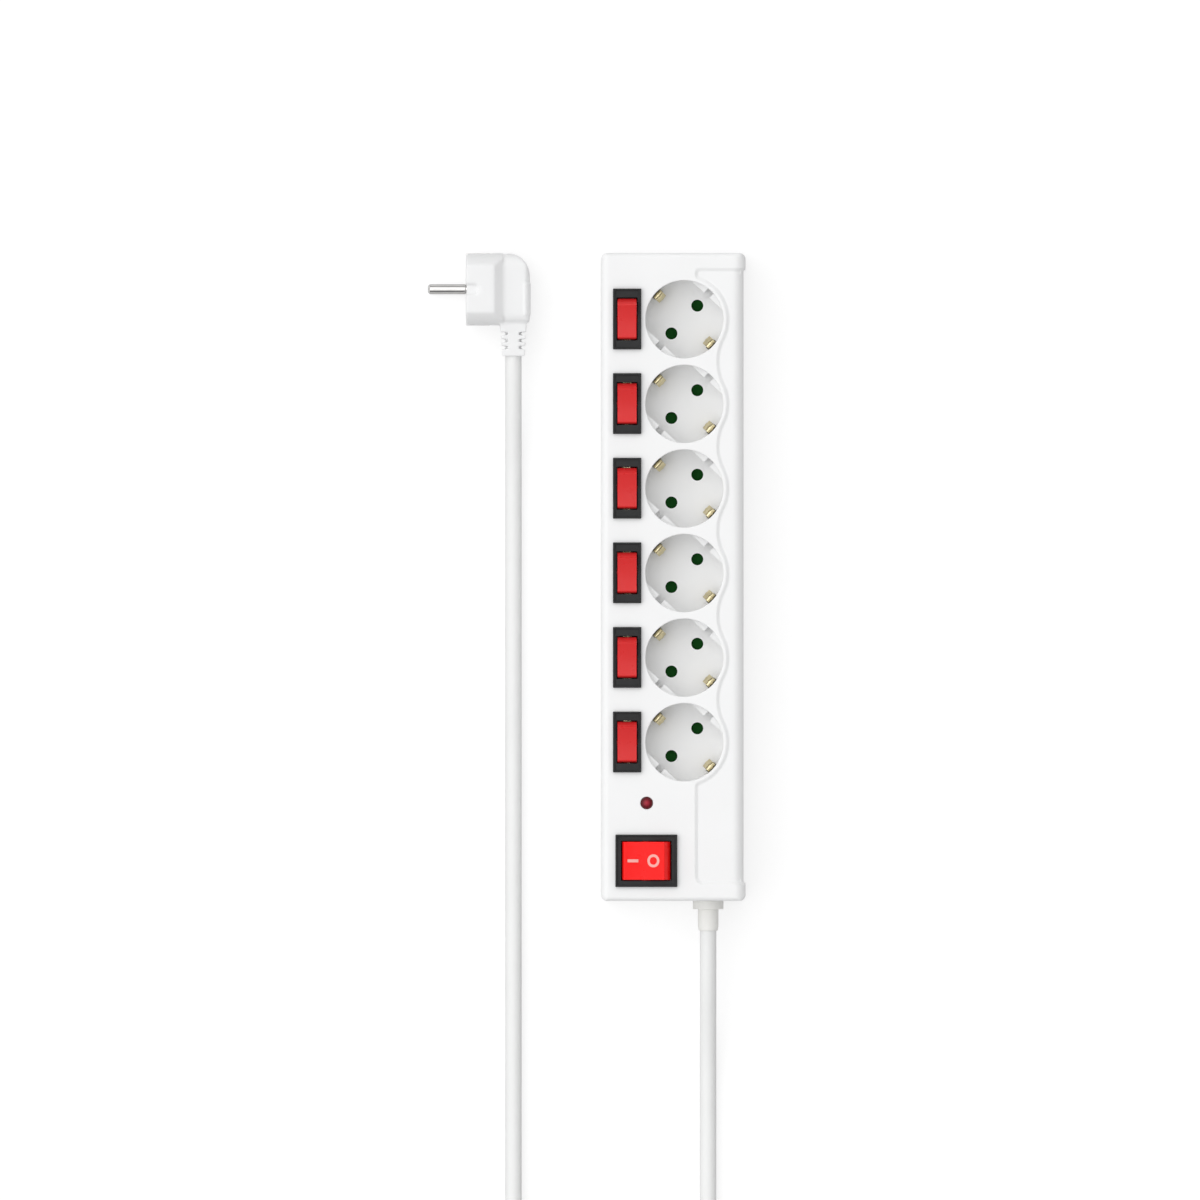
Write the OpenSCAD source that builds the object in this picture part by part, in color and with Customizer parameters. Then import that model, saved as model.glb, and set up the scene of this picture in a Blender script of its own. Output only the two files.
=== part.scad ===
// Power strip with six earthed sockets in a row. Each socket has a rocker switch of its own, and a
// double-pole main switch turns the whole strip off. Sizes are in millimetres. +Z is up and +Y runs
// along the strip, from the end with the cord to socket 1. The origin is under the middle of the
// case, on the surface that its feet stand on.

/* [Case] */
// Height of the top above the surface, feet included
body_h = 42; // [42:0.5:60]
// From the centre of socket 1 to the end of the case beyond it
head_l = 33.1; // [32:0.05:60]
// From the centre of socket 6 to the end that the cord leaves
tail_l = 79.3; // [79:0.05:110]
// Room between the socket cups and the right side of the case
right_room = 9.6; // [9.6:0.1:25]
// Room between the switch housings and the left side of the case
left_room = 6.75; // [6.5:0.05:20]
// Room between the switch housings and the socket cups
column_room = 1.35; // [0.5:0.05:20]
// Height of the joint between base and cover
joint_z = 20; // [19.5:0.5:20.5]
// Thickness of the side walls
wall = 2.2; // [1.6:0.1:2.8]
// Thickness of the top and of the floor
skin = 2.5; // [2:0.1:2.5]
// How far the panel on the right lies below the rest of the case
panel_step = 1; // [0.4:0.1:1.3]
// How far the feet stand out
foot_proud = 1.5; // [1:0.1:2]

/* [Sockets] */
// Width of a socket well
well_d = 39; // [38:0.5:48]
// Depth of a socket well
well_depth = 17.5; // [15:0.5:17.5]
// Wall of a socket cup
cup_wall = 1.5; // [1.2:0.1:3]
// Gap between neighbouring cups
cup_gap = 0.3; // [0.2:0.1:12]
// Distance between the two pins
pin_gap = 19; // [17:0.5:20]
// Turn of the line through the pins, from +X toward +Y
pin_turn = 47; // [40:1:50]
// Width of a pin hole
pin_hole_d = 6; // [5.6:0.1:6.4]
// Width of an earth clip
clip_w = 5; // [4:0.5:6]

/* [Switches] */
// Width of a small switch's frame
bezel_w = 14.15; // [14:0.05:16]
// Length of a small switch's frame
bezel_l = 30.4; // [30:0.1:36]
// Width of a small rocker
rocker_w = 9.6; // [8.5:0.1:10]
// Length of a small rocker's top
rocker_l = 16.9; // [15:0.1:18.5]
// Length of the main switch's frame, across the case
main_bezel_l = 30.9; // [30.5:0.1:34]
// Width of the main switch's frame, along the case
main_bezel_w = 26.2; // [26:0.1:30]
// Length of the main rocker's top, across the case
main_rocker_l = 20.5; // [18:0.1:21]
// Width of the main rocker, along the case
main_rocker_w = 19; // [16:0.1:19.4]
// Tilt of a rocker to each side of level
tilt = 10; // [8:0.5:11]
// Width of the indicator lamp
lamp_d = 6; // [5:0.1:8]

/* [Cord and plug] */
// Width of the cord
cord_d = 8.2; // [7.8:0.1:8.4]
// Width of the plug
plug_d = 36.2; // [35:0.1:37]
// Width of a plug pin
pin_d = 4.8; // [4.6:0.1:4.9]
// Length of a plug pin
pin_l = 19; // [18:0.5:19.5]

/* [Hidden] */
$fn = 48;
SOCKETS = [1:6];

// Clearances
slip = 0.1;        // round a fixed piece in its seat
run = 0.05;        // round a hinge pin
air = 0.3;         // between pieces that move past each other
over = 1;          // how far a cut runs past the face it opens

// Small switch, seen with its tilt axis along X
housing_w = 12.6;
housing_l = 28.4;
open_w = rocker_w + 0.8;
pivot_r = 1.5;
// Main switch, drawn the same way and then turned to lie across the case
main_housing_w = 23.9;
main_housing_l = 28.6;
main_open_w = main_rocker_w + 0.8;
main_pivot_r = 2;
pole_x = 5;        // from the middle of the main switch to each pole
vee = 12.2;        // slope of each half of a rocker's top
dip = 4.2;         // from the pivot up to the middle of a small rocker's top
main_dip = 4.5;    // the same on the main rocker
bezel_h = 1.2;     // thickness of a frame's flat
rim_h = 0.6;       // how far a frame's edge stands above its flat
rim_w = 1;         // width of that edge
blade_t = 0.8;
blade_w = 4.8;
blade_y = 8;       // from a switch's middle to the blade that its lever closes on
lever_tilt = 6;    // tilt of a contact lever to each side of level
lever_t = 0.8;

// Case
cup_r = well_d / 2 + cup_wall;
pitch = 2 * cup_r + cup_gap;
body_w = left_room + housing_w + column_room + 2 * cup_r + right_room;
body_l = head_l + 5 * pitch + tail_l;
right = body_w / 2;
left = -right;
head = body_l / 2;
tail = -head;
floor_z = foot_proud + skin;         // inner face of the floor
roof_z = body_h - skin;              // inner face of the top
corner_r = 3;                        // upright corners
top_left_r = 4;
top_right_r = 5.5;
end_r = 2.3;                         // top edges at the two ends
bottom_r = 2;
inner_r = 1.5;
lip_t = 1;                           // tongue of the base inside the cover
lip_h = 1.5;

// Columns and rows
socket_x = right - right_room - cup_r;
switch_x = left + left_room + housing_w / 2;
function socket_y(i) = head - head_l - (i - 1) * pitch;
function mid_y(i) = socket_y(i) - pitch / 2;     // halfway from socket i to the next one
function switch_y(i) = socket_y(i) + 0.15;
main_x = left + 22.65;
main_y = tail + 20.05;
lamp_x = left + 22.85;
lamp_y = tail + 48.95;
gland_x = right - 18.65;

// Panel on the right
panel_left = socket_x + 6;
panel_head = head - 8.25;
panel_tail = tail + 8.85;
wave_r = well_d / 2 + 2.75;
wave_dip_r = 25;
panel_corner_r = 3.5;

// Heights that hang from the top
well_z = body_h - well_depth;        // floor of a well
cup_z = well_z - 2.5;                // underside of a cup
post_r = 3;
shutter_t = 1.8;
shutter_z = cup_z - air - shutter_t;
post_z = shutter_z - air - 1.2;      // lower end of the post that holds a shutter
pin_tip_z = well_z - pin_l;
bus_z = pin_tip_z + 2.5;             // underside of the neutral bar and the live contacts
bus_t = 1;
earth_z = bus_z - 3;                 // underside of the earth bar
earth_bar_w = 4;
leaf_h = 9;
leaf_t = 0.8;
clip_r = well_d / 2 - 0.8;           // middle of a clip's upright strip
clip_t = 0.8;
pivot_z = body_h - 2;
housing_z = body_h - 20;
main_housing_z = body_h - 26;
lever_z = housing_z + 7;             // underside of a level lever
feed_z = housing_z - 11;             // underside of the live feed bar
feed_w = 4;
pin_x = pin_gap / 2 * cos(pin_turn);
pin_y = pin_gap / 2 * sin(pin_turn);
neutral_x = socket_x + pin_x;
live_x = socket_x - pin_x;

// Screws and feet
screw_d = 3.2;
screw_head_d = 6.2;
boss_d = 8;
head_depth = 3.5;                    // counterbore in the floor
screw_grip = 10;                     // length of a screw inside the cover
screw_points = [
    [left + 6.4, head - 10.5], [right - 7.4, head - 10.5],
    [left + 6.4, mid_y(3)], [right - 7.4, mid_y(3)],
    [left + 6.4, tail + 50], [right - 7.4, tail + 32]];
foot_d = 11;
foot_sink = 1;
foot_points = [for (x = [left + 10, right - 10], y = [head - 24, 0, tail + 12]) [x, y]];
keyhole_r = 4.25;
keyhole_slot_w = 4.6;
keyhole_run = 9;                     // from the round hole to the end of the slot
keyhole_points = [[switch_x, mid_y(1)], [switch_x, mid_y(5)]];

// Gland and clamp. The cord lies in the joint between base and cover.
gland_y = tail;
collar_d = 15.3;
collar_l = 4.2;
sleeve_d = 10.3;
sleeve_l = 10.9;
neck_d = 10.6;
clamp_y = tail + 16;
clamp_w = 26;
clamp_l = 8;
clamp_h = 6;
clamp_screw_x = 9.5;

// Surge board under the lamp
board_x = lamp_x + 5;
board_y = lamp_y - 3;
board_w = 28;
board_l = 18;
board_t = 1.6;
board_z = floor_z + 5;
varistor_d = 9;
varistor_t = 3.5;

// Plug, lying on its flat side with the pins toward -X
plug_y = 144.1;
plug_flat = 13.8;                    // from the axis to each flat
plug_z = plug_flat;
plug_face_x = -103.8;
plug_bevel_x = -89.5;                // where the bevel to the thin grip begins
plug_grip_x = -85;
plug_back_x = -71.1;
grip_half_h = 9.3;
grip_half_w = 17;
tail_x = -80;                        // axis of the plug's cord end
tail_top_y = 127;
tail_end_y = 110.7;
pin_root_l = 10;                     // length and width of a pin's root inside the plug
pin_root_d = 4;
pin_neck = 0.25;                     // the root starts this far outside the plug's face
earth_contact_l = 12;
earth_contact_w = 4.2;
earth_contact_t = 1.2;
groove_w = 5;
groove_l = 6.8;
groove_depth = 1.6;

// Route of the cord. The stretch from the clamp to the coil lies at the strip, the other one runs
// from the coil to the plug. Between them the cord is wound into a round coil on the floor.
cord_r = cord_d / 2;
cord_start_y = tail + 22.95;         // end of the sheath inside the case
coil_x = (gland_x + tail_x) / 2;     // the coil's two sides run on to the gland and to the plug
coil_y = -390;
coil_r = (gland_x - tail_x) / 2;
coil_lift = 0.8;                     // the tie passes under the coil
coil_layers = 3;
// Points along each stretch: place along Y and height of the middle of the cord
strip_drop = [
    [cord_start_y, joint_z], [tail - 18.05, joint_z], [tail - 28.05, joint_z - 0.5],
    [tail - 38.05, joint_z - 1.8], [tail - 48.05, joint_z - 4.1], [-221, 12], [-232, 8.2],
    [-242, 5.9], [-252, 4.6], [-262, cord_r], [-340, cord_r], [-360, 4.5], [-375, cord_r + coil_lift],
    [coil_y, cord_r + coil_lift]];
plug_climb = [
    [coil_y, 21.3], [-385, 21.3], [-375, 20.8], [-365, 19.2], [-355, 16.7], [-345, 12.7],
    [-335, 8.7], [-325, 6.2], [-315, 4.6], [-305, cord_r], [40, cord_r], [50, 4.5], [60, 5.6],
    [70, 7.6], [80, 10.2], [90, 12.2], [99, 13.5], [105, plug_z], [tail_end_y, plug_z]];
strip_route = [for (p = strip_drop) [gland_x, p.x, p.y]];
plug_route = [for (p = plug_climb) [tail_x, p.x, p.y]];
ring_step = 22;

// ---- Shapes shared by several pieces ----

// Section drawn in X and Z, extruded along Y on both sides of y = 0
module along_y(l) { rotate([90, 0, 0]) linear_extrude(l, center = true) children(); }

// Section drawn in Y and Z, extruded along X on both sides of x = 0
module along_x(l) { rotate([90, 0, 90]) linear_extrude(l, center = true) children(); }

// Rectangle from a to b. r holds the radii of the lower left, lower right, upper right and upper
// left corners.
module round_box(a, b, r) {
    corners = [[a.x, a.y], [b.x, a.y], [b.x, b.y], [a.x, b.y]];
    inward = [[1, 1], [-1, 1], [-1, -1], [1, -1]];
    difference() {
        translate(a) square(b - a);
        for (k = [0:3]) if (r[k] > 0) difference() {
            translate(corners[k] + inward[k] * r[k] / 2 - inward[k] * over / 2)
                square(r[k] + over, center = true);
            translate(corners[k] + inward[k] * r[k]) circle(r[k]);
        }
    }
}

// Rectangle w by l round the origin with four equal corners
module plate(w, l, r) { round_box([-w / 2, -l / 2], [w / 2, l / 2], [r, r, r, r]); }

// Block w by l by h standing on z = 0
module block(w, l, h) { translate([-w / 2, -l / 2, 0]) cube([w, l, h]); }

function unit(v) = v / norm(v);

// Strip of thickness t along the points of a line in a plane
function strip_side(p, t) = [for (i = [0:len(p) - 1])
    let (a = unit(p[max(i, 1)] - p[max(i, 1) - 1]),
         b = unit(p[min(i + 1, len(p) - 1)] - p[min(i, len(p) - 2)]),
         n = unit([-a.y - b.y, a.x + b.x]))
    p[i] + n * t / 2 / (n * [-a.y, a.x])];
function backward(p) = [for (i = [len(p) - 1:-1:0]) p[i]];
module strip(p, t) { polygon(concat(strip_side(p, t), backward(strip_side(p, -t)))); }

// Points along a route, no further apart than step
function spaced(p, step) = concat(
    [for (i = [0:len(p) - 2]) let (n = ceil(norm(p[i + 1] - p[i]) / step))
        for (k = [0:n - 1]) p[i] + (p[i + 1] - p[i]) * k / n],
    [p[len(p) - 1]]);

// Route with each bend cut short by at most r, for a lead
function eased(p, r) = concat([p[0]],
    [for (i = [1:len(p) - 2]) let (cut = min(r, 0.45 * min(norm(p[i] - p[i - 1]), norm(p[i + 1] - p[i]))))
        for (s = [-1, 1]) p[i] + unit(p[i + s] - p[i]) * cut],
    [p[len(p) - 1]]);

// Directions along a route, and a side direction that is carried along it without twist
function ways(p) = [for (i = [0:len(p) - 1])
    unit(unit(p[max(i, 1)] - p[max(i, 1) - 1])
       + unit(p[min(i + 1, len(p) - 1)] - p[min(i, len(p) - 2)]))];
function start_side(t) = unit(cross(t, abs(t.z) < 0.9 ? [0, 0, 1] : [1, 0, 0]));
function side_ways(t) = [for (i = 0, n = start_side(t[0]); i < len(t);
    i = i + 1, n = i < len(t) ? unit(n - (n * t[i]) * t[i]) : n) n];

// Round tube of width d with n sides along the points of a route
module tube(p, d, n) {
    t = ways(p);
    s = side_ways(t);
    rings = len(p);
    polyhedron(
        points = [for (i = [0:rings - 1], k = [0:n - 1])
            p[i] + d / 2 * (cos(360 * k / n) * s[i] + sin(360 * k / n) * cross(t[i], s[i]))],
        faces = concat(
            [[for (k = [0:n - 1]) k]],
            [[for (k = [n - 1:-1:0]) (rings - 1) * n + k]],
            [for (i = [0:rings - 2], k = [0:n - 1]) let (j = (k + 1) % n)
                [i * n + k, (i + 1) * n + k, (i + 1) * n + j, i * n + j]]));
}

module lead(p, d) { tube(eased(p, 1.5), d, 8); }

// ---- Case ----

// Outside of the case. inset and drop move its right side and its top inward for the panel.
module envelope(inset, drop) {
    intersection() {
        linear_extrude(body_h + over) plate(body_w, body_l, corner_r);
        along_y(body_l + over) round_box([left, foot_proud], [right - inset, body_h - drop],
            [bottom_r, bottom_r, top_right_r, top_left_r]);
        along_x(body_w + over) round_box([tail, foot_proud], [head, body_h - drop],
            [bottom_r, bottom_r, end_r, end_r]);
    }
}

// Part of the top that stays high: a ring round each socket, joined by hollow curves
module high_ground() {
    reach = wave_r + wave_dip_r;
    out = sqrt(reach * reach - pitch * pitch / 4);
    for (i = SOCKETS) translate([socket_x, socket_y(i)]) circle(wave_r, $fn = 96);
    for (i = [1:5]) difference() {
        polygon([[socket_x, socket_y(i)], [socket_x, socket_y(i + 1)],
                 [socket_x + out, mid_y(i)]]);
        translate([socket_x + out, mid_y(i)]) circle(wave_dip_r, $fn = 96);
    }
}

module panel_area() {
    difference() {
        round_box([panel_left, panel_tail], [right + over, panel_head],
            [panel_corner_r, 0, 0, panel_corner_r / 2]);
        high_ground();
    }
}

module solid_case() {
    difference() {
        envelope(0, 0);
        linear_extrude(body_h + over) panel_area();
    }
    intersection() {
        envelope(panel_step, panel_step);
        linear_extrude(body_h + over) panel_area();
    }
}

// Room inside the walls, less a margin
module inner_plan(margin) {
    round_box([left + wall + margin, tail + wall + margin],
        [right - panel_step - wall - margin, head - wall - margin],
        [inner_r, inner_r, inner_r, inner_r]);
}

module gland_hole() {
    translate([gland_x, gland_y, joint_z]) along_y(4 * wall) circle(d = neck_d + 2 * slip);
}

// Foot, post or boss on the floor, up to height z
module floor_post(p, d, z) {
    translate([p.x, p.y, floor_z - 0.5]) cylinder(h = z - floor_z + 0.5, d = d);
}
module floor_block(p, w, l, z) {
    translate([p.x, p.y, floor_z - 0.5]) block(w, l, z - floor_z + 0.5);
}

module keyhole() {
    translate([0, -keyhole_run / 2, 0]) cylinder(h = skin + 2 * over, r = keyhole_r);
    translate([-keyhole_slot_w / 2, -keyhole_run / 2, 0])
        cube([keyhole_slot_w, keyhole_run, skin + 2 * over]);
    translate([0, keyhole_run / 2, 0]) cylinder(h = skin + 2 * over, d = keyhole_slot_w);
}

// Tongue of the base that fits inside the cover, open at the cover's bosses and at the gland
module tongue() {
    gland_gap = collar_d + 2 * air;
    difference() {
        union() {
            translate([0, 0, joint_z - lip_h]) linear_extrude(lip_h - slip) difference() {
                inner_plan(-wall / 2);
                inner_plan(slip + lip_t / 2);
            }
            translate([0, 0, joint_z - lip_h]) linear_extrude(2 * lip_h) difference() {
                inner_plan(slip);
                inner_plan(slip + lip_t);
                for (p = screw_points) translate(p) circle(d = boss_d + 2 * air);
            }
        }
        translate([gland_x - gland_gap / 2, tail + wall / 2, joint_z - gland_gap / 2])
            cube([gland_gap, gland_gap, gland_gap]);
    }
}

module base_shell() {
    guard_h = 5.5;                   // box over a keyhole, with a roof
    guard_roof = 1.2;
    guard_w = 14;
    guard_l = 24;
    guard_wall = 1.2;
    rest_w = min(7, 2 * (socket_x - live_x - earth_bar_w / 2 - air));
    color("white") difference() {
        union() {
            difference() {
                intersection() {
                    solid_case();
                    translate([left - over, tail - over, 0])
                        cube([body_w + 2 * over, body_l + 2 * over, joint_z]);
                }
                translate([0, 0, floor_z]) linear_extrude(body_h) inner_plan(0);
            }
            tongue();
            for (p = screw_points) floor_post(p, boss_d, joint_z);
            for (p = keyhole_points) floor_block(p, guard_w, guard_l, floor_z + guard_h);
            for (i = [1:5]) {
                floor_block([socket_x, mid_y(i)], 8, 6, earth_z);
                floor_block([neutral_x, mid_y(i)], 6, 6, bus_z);
            }
            for (i = SOCKETS) {
                floor_block([live_x, socket_y(i) - pin_y - 5.4], rest_w, 2.4, bus_z);
                floor_block([live_x - 5.5, socket_y(i) - pin_y], 2.4, 5, bus_z);
                floor_post([switch_x, switch_y(i) + blade_y], 4, feed_z);
            }
            floor_block([gland_x, clamp_y], clamp_w, clamp_l, joint_z);
            for (x = [-1, 1], y = [-1, 1])
                floor_post([board_x + x * (board_w / 2 - 3), board_y + y * (board_l / 2 - 3)], 4, board_z);
        }
        for (p = screw_points) translate([p.x, p.y, 0]) {
            cylinder(h = body_h, d = screw_d + 2 * slip);
            cylinder(h = foot_proud + head_depth, d = screw_head_d + 4 * slip);
        }
        for (p = foot_points)
            translate([p.x, p.y, 0]) cylinder(h = foot_proud + foot_sink, d = foot_d + 2 * slip);
        for (p = keyhole_points) {
            translate([p.x, p.y, foot_proud - over]) keyhole();
            translate([p.x, p.y, floor_z])
                block(guard_w - 2 * guard_wall, guard_l - 2 * guard_wall, guard_h - guard_roof);
        }
        translate([gland_x, clamp_y, joint_z]) along_y(clamp_l + 2 * over) circle(d = cord_d + slip);
        for (s = [-1, 1]) translate([gland_x + s * clamp_screw_x, clamp_y, joint_z - 10])
            cylinder(h = 10 + over, d = screw_d + slip);
        gland_hole();
    }
}

module top_cover() {
    color("white") difference() {
        union() {
            difference() {
                intersection() {
                    solid_case();
                    translate([left - over, tail - over, joint_z])
                        cube([body_w + 2 * over, body_l + 2 * over, body_h]);
                }
                translate([0, 0, joint_z - over]) linear_extrude(roof_z - joint_z + over) inner_plan(0);
            }
            for (p = screw_points) translate([p.x, p.y, joint_z])
                cylinder(h = roof_z - joint_z + 0.5, d = boss_d);
        }
        for (i = SOCKETS) {
            translate([socket_x, socket_y(i), joint_z]) cylinder(h = body_h, d = well_d);
            translate([switch_x, switch_y(i), joint_z])
                block(housing_w + 2 * slip, housing_l + 2 * slip, body_h);
        }
        translate([main_x, main_y, joint_z])
            block(main_housing_l + 2 * slip, main_housing_w + 2 * slip, body_h);
        translate([lamp_x, lamp_y, joint_z]) cylinder(h = body_h, d = lamp_d + slip);
        for (p = screw_points) translate([p.x, p.y, joint_z - over])
            cylinder(h = screw_grip + 2 * over, d = screw_d + slip);
        gland_hole();
    }
}

// ---- Sockets ----

// Turns a piece from the frame in which a socket's pins lie along X
module at_socket(i) { translate([socket_x, socket_y(i), 0]) rotate([0, 0, pin_turn]) children(); }

module socket_cup(i) {
    land_in = 16.5;            // from the axis to the flat of a guide land
    land_notch = 3.7;
    land_h = well_depth - 3.5;
    slot_in = clip_r - 1.2;
    color("white") at_socket(i) difference() {
        union() {
            translate([0, 0, cup_z]) cylinder(h = roof_z - cup_z, r = cup_r, $fn = 96);
            translate([0, 0, post_z]) cylinder(h = cup_z - post_z + 0.5, r = post_r);
            translate([0, 0, post_z]) cylinder(h = 1.2, r = post_r + 0.9);
            rotate([0, 0, 100]) translate([9, 0, post_z]) cylinder(h = cup_z - post_z + 0.5, r = 1);
        }
        difference() {
            translate([0, 0, well_z]) cylinder(h = body_h, d = well_d, $fn = 96);
            for (s = [0, 180]) rotate([0, 0, s]) difference() {
                translate([land_in, -well_d, well_z - over]) cube([well_d, 2 * well_d, land_h + over]);
                translate([land_in - over, -land_notch / 2, well_z])
                    cube([well_d, land_notch, well_depth]);
            }
        }
        for (s = [-1, 1]) {
            translate([s * pin_gap / 2, 0, cup_z - over]) cylinder(h = 5, d = pin_hole_d);
            rotate([0, 0, 90 * s]) translate([slot_in, -clip_w / 2 - air, cup_z - over])
                cube([well_d / 2 - slot_in - 0.1, clip_w + 2 * air, 5]);
        }
    }
}

// Hub with two vanes that lie under the pin holes. Each vane has a ramp for a pin to push on.
module shutter(i) {
    vane_r = pin_hole_d / 2 + 0.7;
    color("darkgreen") at_socket(i) translate([0, 0, shutter_z]) difference() {
        union() {
            cylinder(h = shutter_t, r = 5.5);
            for (s = [0, 180]) rotate([0, 0, s]) {
                translate([pin_gap / 2, 0, 0]) cylinder(h = shutter_t, r = vane_r);
                translate([3.5, -2, 0]) cube([pin_gap / 2 - 3.5, 4, shutter_t]);
            }
        }
        translate([0, 0, -over]) cylinder(h = shutter_t + 2 * over, r = post_r + run);
        for (s = [0, 180]) rotate([0, 0, s])
            translate([pin_gap / 2, -vane_r, 0]) rotate([45, 0, 0])
                translate([-vane_r - over, -4, 0]) cube([2 * vane_r + 2 * over, 4, 4]);
    }
}

// Torsion springs round the posts, one leg against the cup's stop
module shutter_springs() {
    color("silver") for (i = SOCKETS) at_socket(i) translate([0, 0, post_z + 0.1]) {
        difference() {
            union() {
                cylinder(h = 1, r = 5.2);
                for (a = [100, 215]) rotate([0, 0, a]) translate([4.6, -0.4, 0.1]) cube([3.2, 0.8, 0.8]);
            }
            translate([0, 0, -over]) cylinder(h = 3, r = post_r + 1.2);
        }
    }
}

// One clip: an upright strip with a hairpin that the plug's earth contact slides against
module earth_clip() {
    top_z = body_h - 4.4;
    along_y(clip_w)
        strip([[clip_r, earth_z + 0.2], [clip_r, top_z - 1.1], [clip_r - 0.7, top_z],
               [clip_r - 1.7, top_z - 0.4], [clip_r - 3.8, top_z - 6.1], [clip_r - 2.3, top_z - 10.6]],
              clip_t);
    translate([0, -clip_w / 2, earth_z]) cube([clip_r + clip_t / 2, clip_w, bus_t]);
}

module earth_bar() {
    low = socket_y(6) - 18;
    color("goldenrod") {
        translate([socket_x - earth_bar_w / 2, low, earth_z])
            cube([earth_bar_w, socket_y(1) + 5 - low, bus_t]);
        for (i = SOCKETS, s = [90, -90]) at_socket(i) rotate([0, 0, s]) earth_clip();
    }
}

// Two leaves that grip a pin, standing on a plate with a hole for the pin's tip
module pin_leaves() {
    for (s = [-1, 1]) translate([0, s * (pin_d / 2 + slip + leaf_t / 2), bus_z + bus_t / 2])
        block(5, leaf_t, leaf_h + bus_t / 2);
}

module neutral_bar() {
    bar_w = 8;
    low = socket_y(6) + pin_y - 8;
    color("goldenrod") difference() {
        union() {
            translate([neutral_x - bar_w / 2, low, bus_z])
                cube([bar_w, socket_y(1) + pin_y + 6 - low, bus_t]);
            for (i = SOCKETS) translate([neutral_x, socket_y(i) + pin_y, 0]) pin_leaves();
        }
        for (i = SOCKETS) translate([neutral_x, socket_y(i) + pin_y, bus_z - over])
            cylinder(h = bus_t + 2 * over, d = pin_d + 2 * slip);
    }
}

module live_contacts() {
    color("goldenrod") for (i = SOCKETS) translate([live_x, socket_y(i) - pin_y, 0]) difference() {
        union() {
            translate([0, 0, bus_z]) block(8, 14, bus_t);
            translate([-7.2, -2.5, bus_z]) cube([4, 5, bus_t]);
            pin_leaves();
        }
        translate([0, 0, bus_z - over]) cylinder(h = bus_t + 2 * over, d = pin_d + 2 * slip);
    }
}

module live_feed_bar() {
    low = switch_y(6) - 16;
    color("goldenrod") translate([switch_x - feed_w / 2, low, feed_z])
        cube([feed_w, switch_y(1) + 4 - low, bus_t]);
}

// ---- Switches, drawn at the origin with the tilt axis along X and z in place ----

// Housing with a frame on the cover, a well for the rocker, and pivot holes
module housing(w, l, frame_w, frame_l, opening_w, opening_l, low_z, hole_r, blades) {
    color([0.16, 0.16, 0.16]) difference() {
        union() {
            translate([0, 0, low_z]) block(w, l, body_h - low_z + bezel_h / 2);
            translate([0, 0, body_h]) linear_extrude(bezel_h) plate(frame_w, frame_l, 1.2);
            translate([0, 0, body_h]) linear_extrude(bezel_h + rim_h) difference() {
                plate(frame_w, frame_l, 1.2);
                plate(frame_w - 2 * rim_w, frame_l - 2 * rim_w, 0.6);
            }
        }
        translate([0, 0, low_z + 2]) block(opening_w, opening_l, body_h);
        translate([0, 0, pivot_z]) along_x(w + 2 * over) circle(hole_r);
        for (b = blades) translate([b.x, b.y, low_z - over])
            block(blade_w + slip, blade_t + slip, 2 + 2 * over);
    }
}

// A rocker's ends are rounded about its pivot, so they pass the frame with an even gap
function end_reach(l, middle) = norm([l / 2, middle + l / 2 * tan(vee)]);
function opening_length(l, middle) = 2 * (end_reach(l, middle) + air);

// Side of a rocker: a shallow V on top, ends of radius r about the pivot, narrower toward the foot
module rocker_side(l, middle, r, foot_z) {
    intersection() {
        circle(r, $fn = 96);
        polygon([[-l, middle + l * tan(vee)], [0, middle], [l, middle + l * tan(vee)], [l, 3],
            [l / 2 - 3.5, foot_z], [3.5 - l / 2, foot_z], [-l, 3]]);
    }
}

// Hollow rocker with a shallow V on top, pivots, and a leg for each lever. At rest its +Y end is up.
module rocker(w, l, middle, pin_r, pin_reach, leg_xs) {
    shell = 1.2;
    foot_z = -3.5;
    nose_r = 1.3;
    nose_z = -(pivot_z - lever_z - lever_t - 0.2 - nose_r);
    color([0.85, 0.1, 0.1]) translate([0, 0, pivot_z]) rotate([tilt, 0, 0]) {
        difference() {
            along_x(w) rocker_side(l, middle, end_reach(l, middle), foot_z);
            along_x(w - 2 * shell)
                rocker_side(l, middle - shell, end_reach(l, middle) - shell, foot_z - over);
        }
        for (x = leg_xs) {
            translate([x - 1.5, -nose_r, nose_z]) cube([3, 2 * nose_r, middle - shell / 2 - nose_z]);
            translate([x, 0, nose_z]) along_x(3) circle(nose_r);
        }
        for (s = [-1, 1]) translate([s * (w / 2 - shell + pin_reach) / 2, 0, 0])
            along_x(pin_reach - w / 2 + shell) circle(pin_r);
    }
}

// See-saw contact. At rest its +Y end is down, on the closed contact.
module lever(l) {
    color("goldenrod") translate([0, 0, lever_z]) rotate([-lever_tilt, 0, 0])
        block(blade_w - 0.2, l, lever_t);
}

// Blade through the floor of a housing
module blade(p, low, high) { translate([p.x, p.y, low]) block(blade_w, blade_t, high - low); }

small_open_l = opening_length(rocker_l, dip);
main_open_l = opening_length(main_rocker_l, main_dip);
fulcrum_z = lever_z - 0.25;
contact_z = lever_z - (blade_y + blade_t / 2) * sin(lever_tilt) - 0.25;

module switch_housing(i) {
    translate([switch_x, switch_y(i), 0])
        housing(housing_w, housing_l, bezel_w, bezel_l, open_w, small_open_l, housing_z,
            pivot_r + run, [[0, 0], [0, blade_y]]);
}

module switch_rocker(i) {
    translate([switch_x, switch_y(i), 0])
        rocker(rocker_w, rocker_l, dip, pivot_r, housing_w / 2 - 0.2, [0]);
}

module switch_lever(i) { translate([switch_x, switch_y(i), 0]) lever(2 * blade_y + 2); }

module switch_terminals() {
    color("goldenrod") for (i = SOCKETS) translate([switch_x, switch_y(i), 0]) {
        blade([0, 0], feed_z + bus_t, fulcrum_z);
        blade([0, blade_y], housing_z - 6, contact_z);
    }
}

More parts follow.
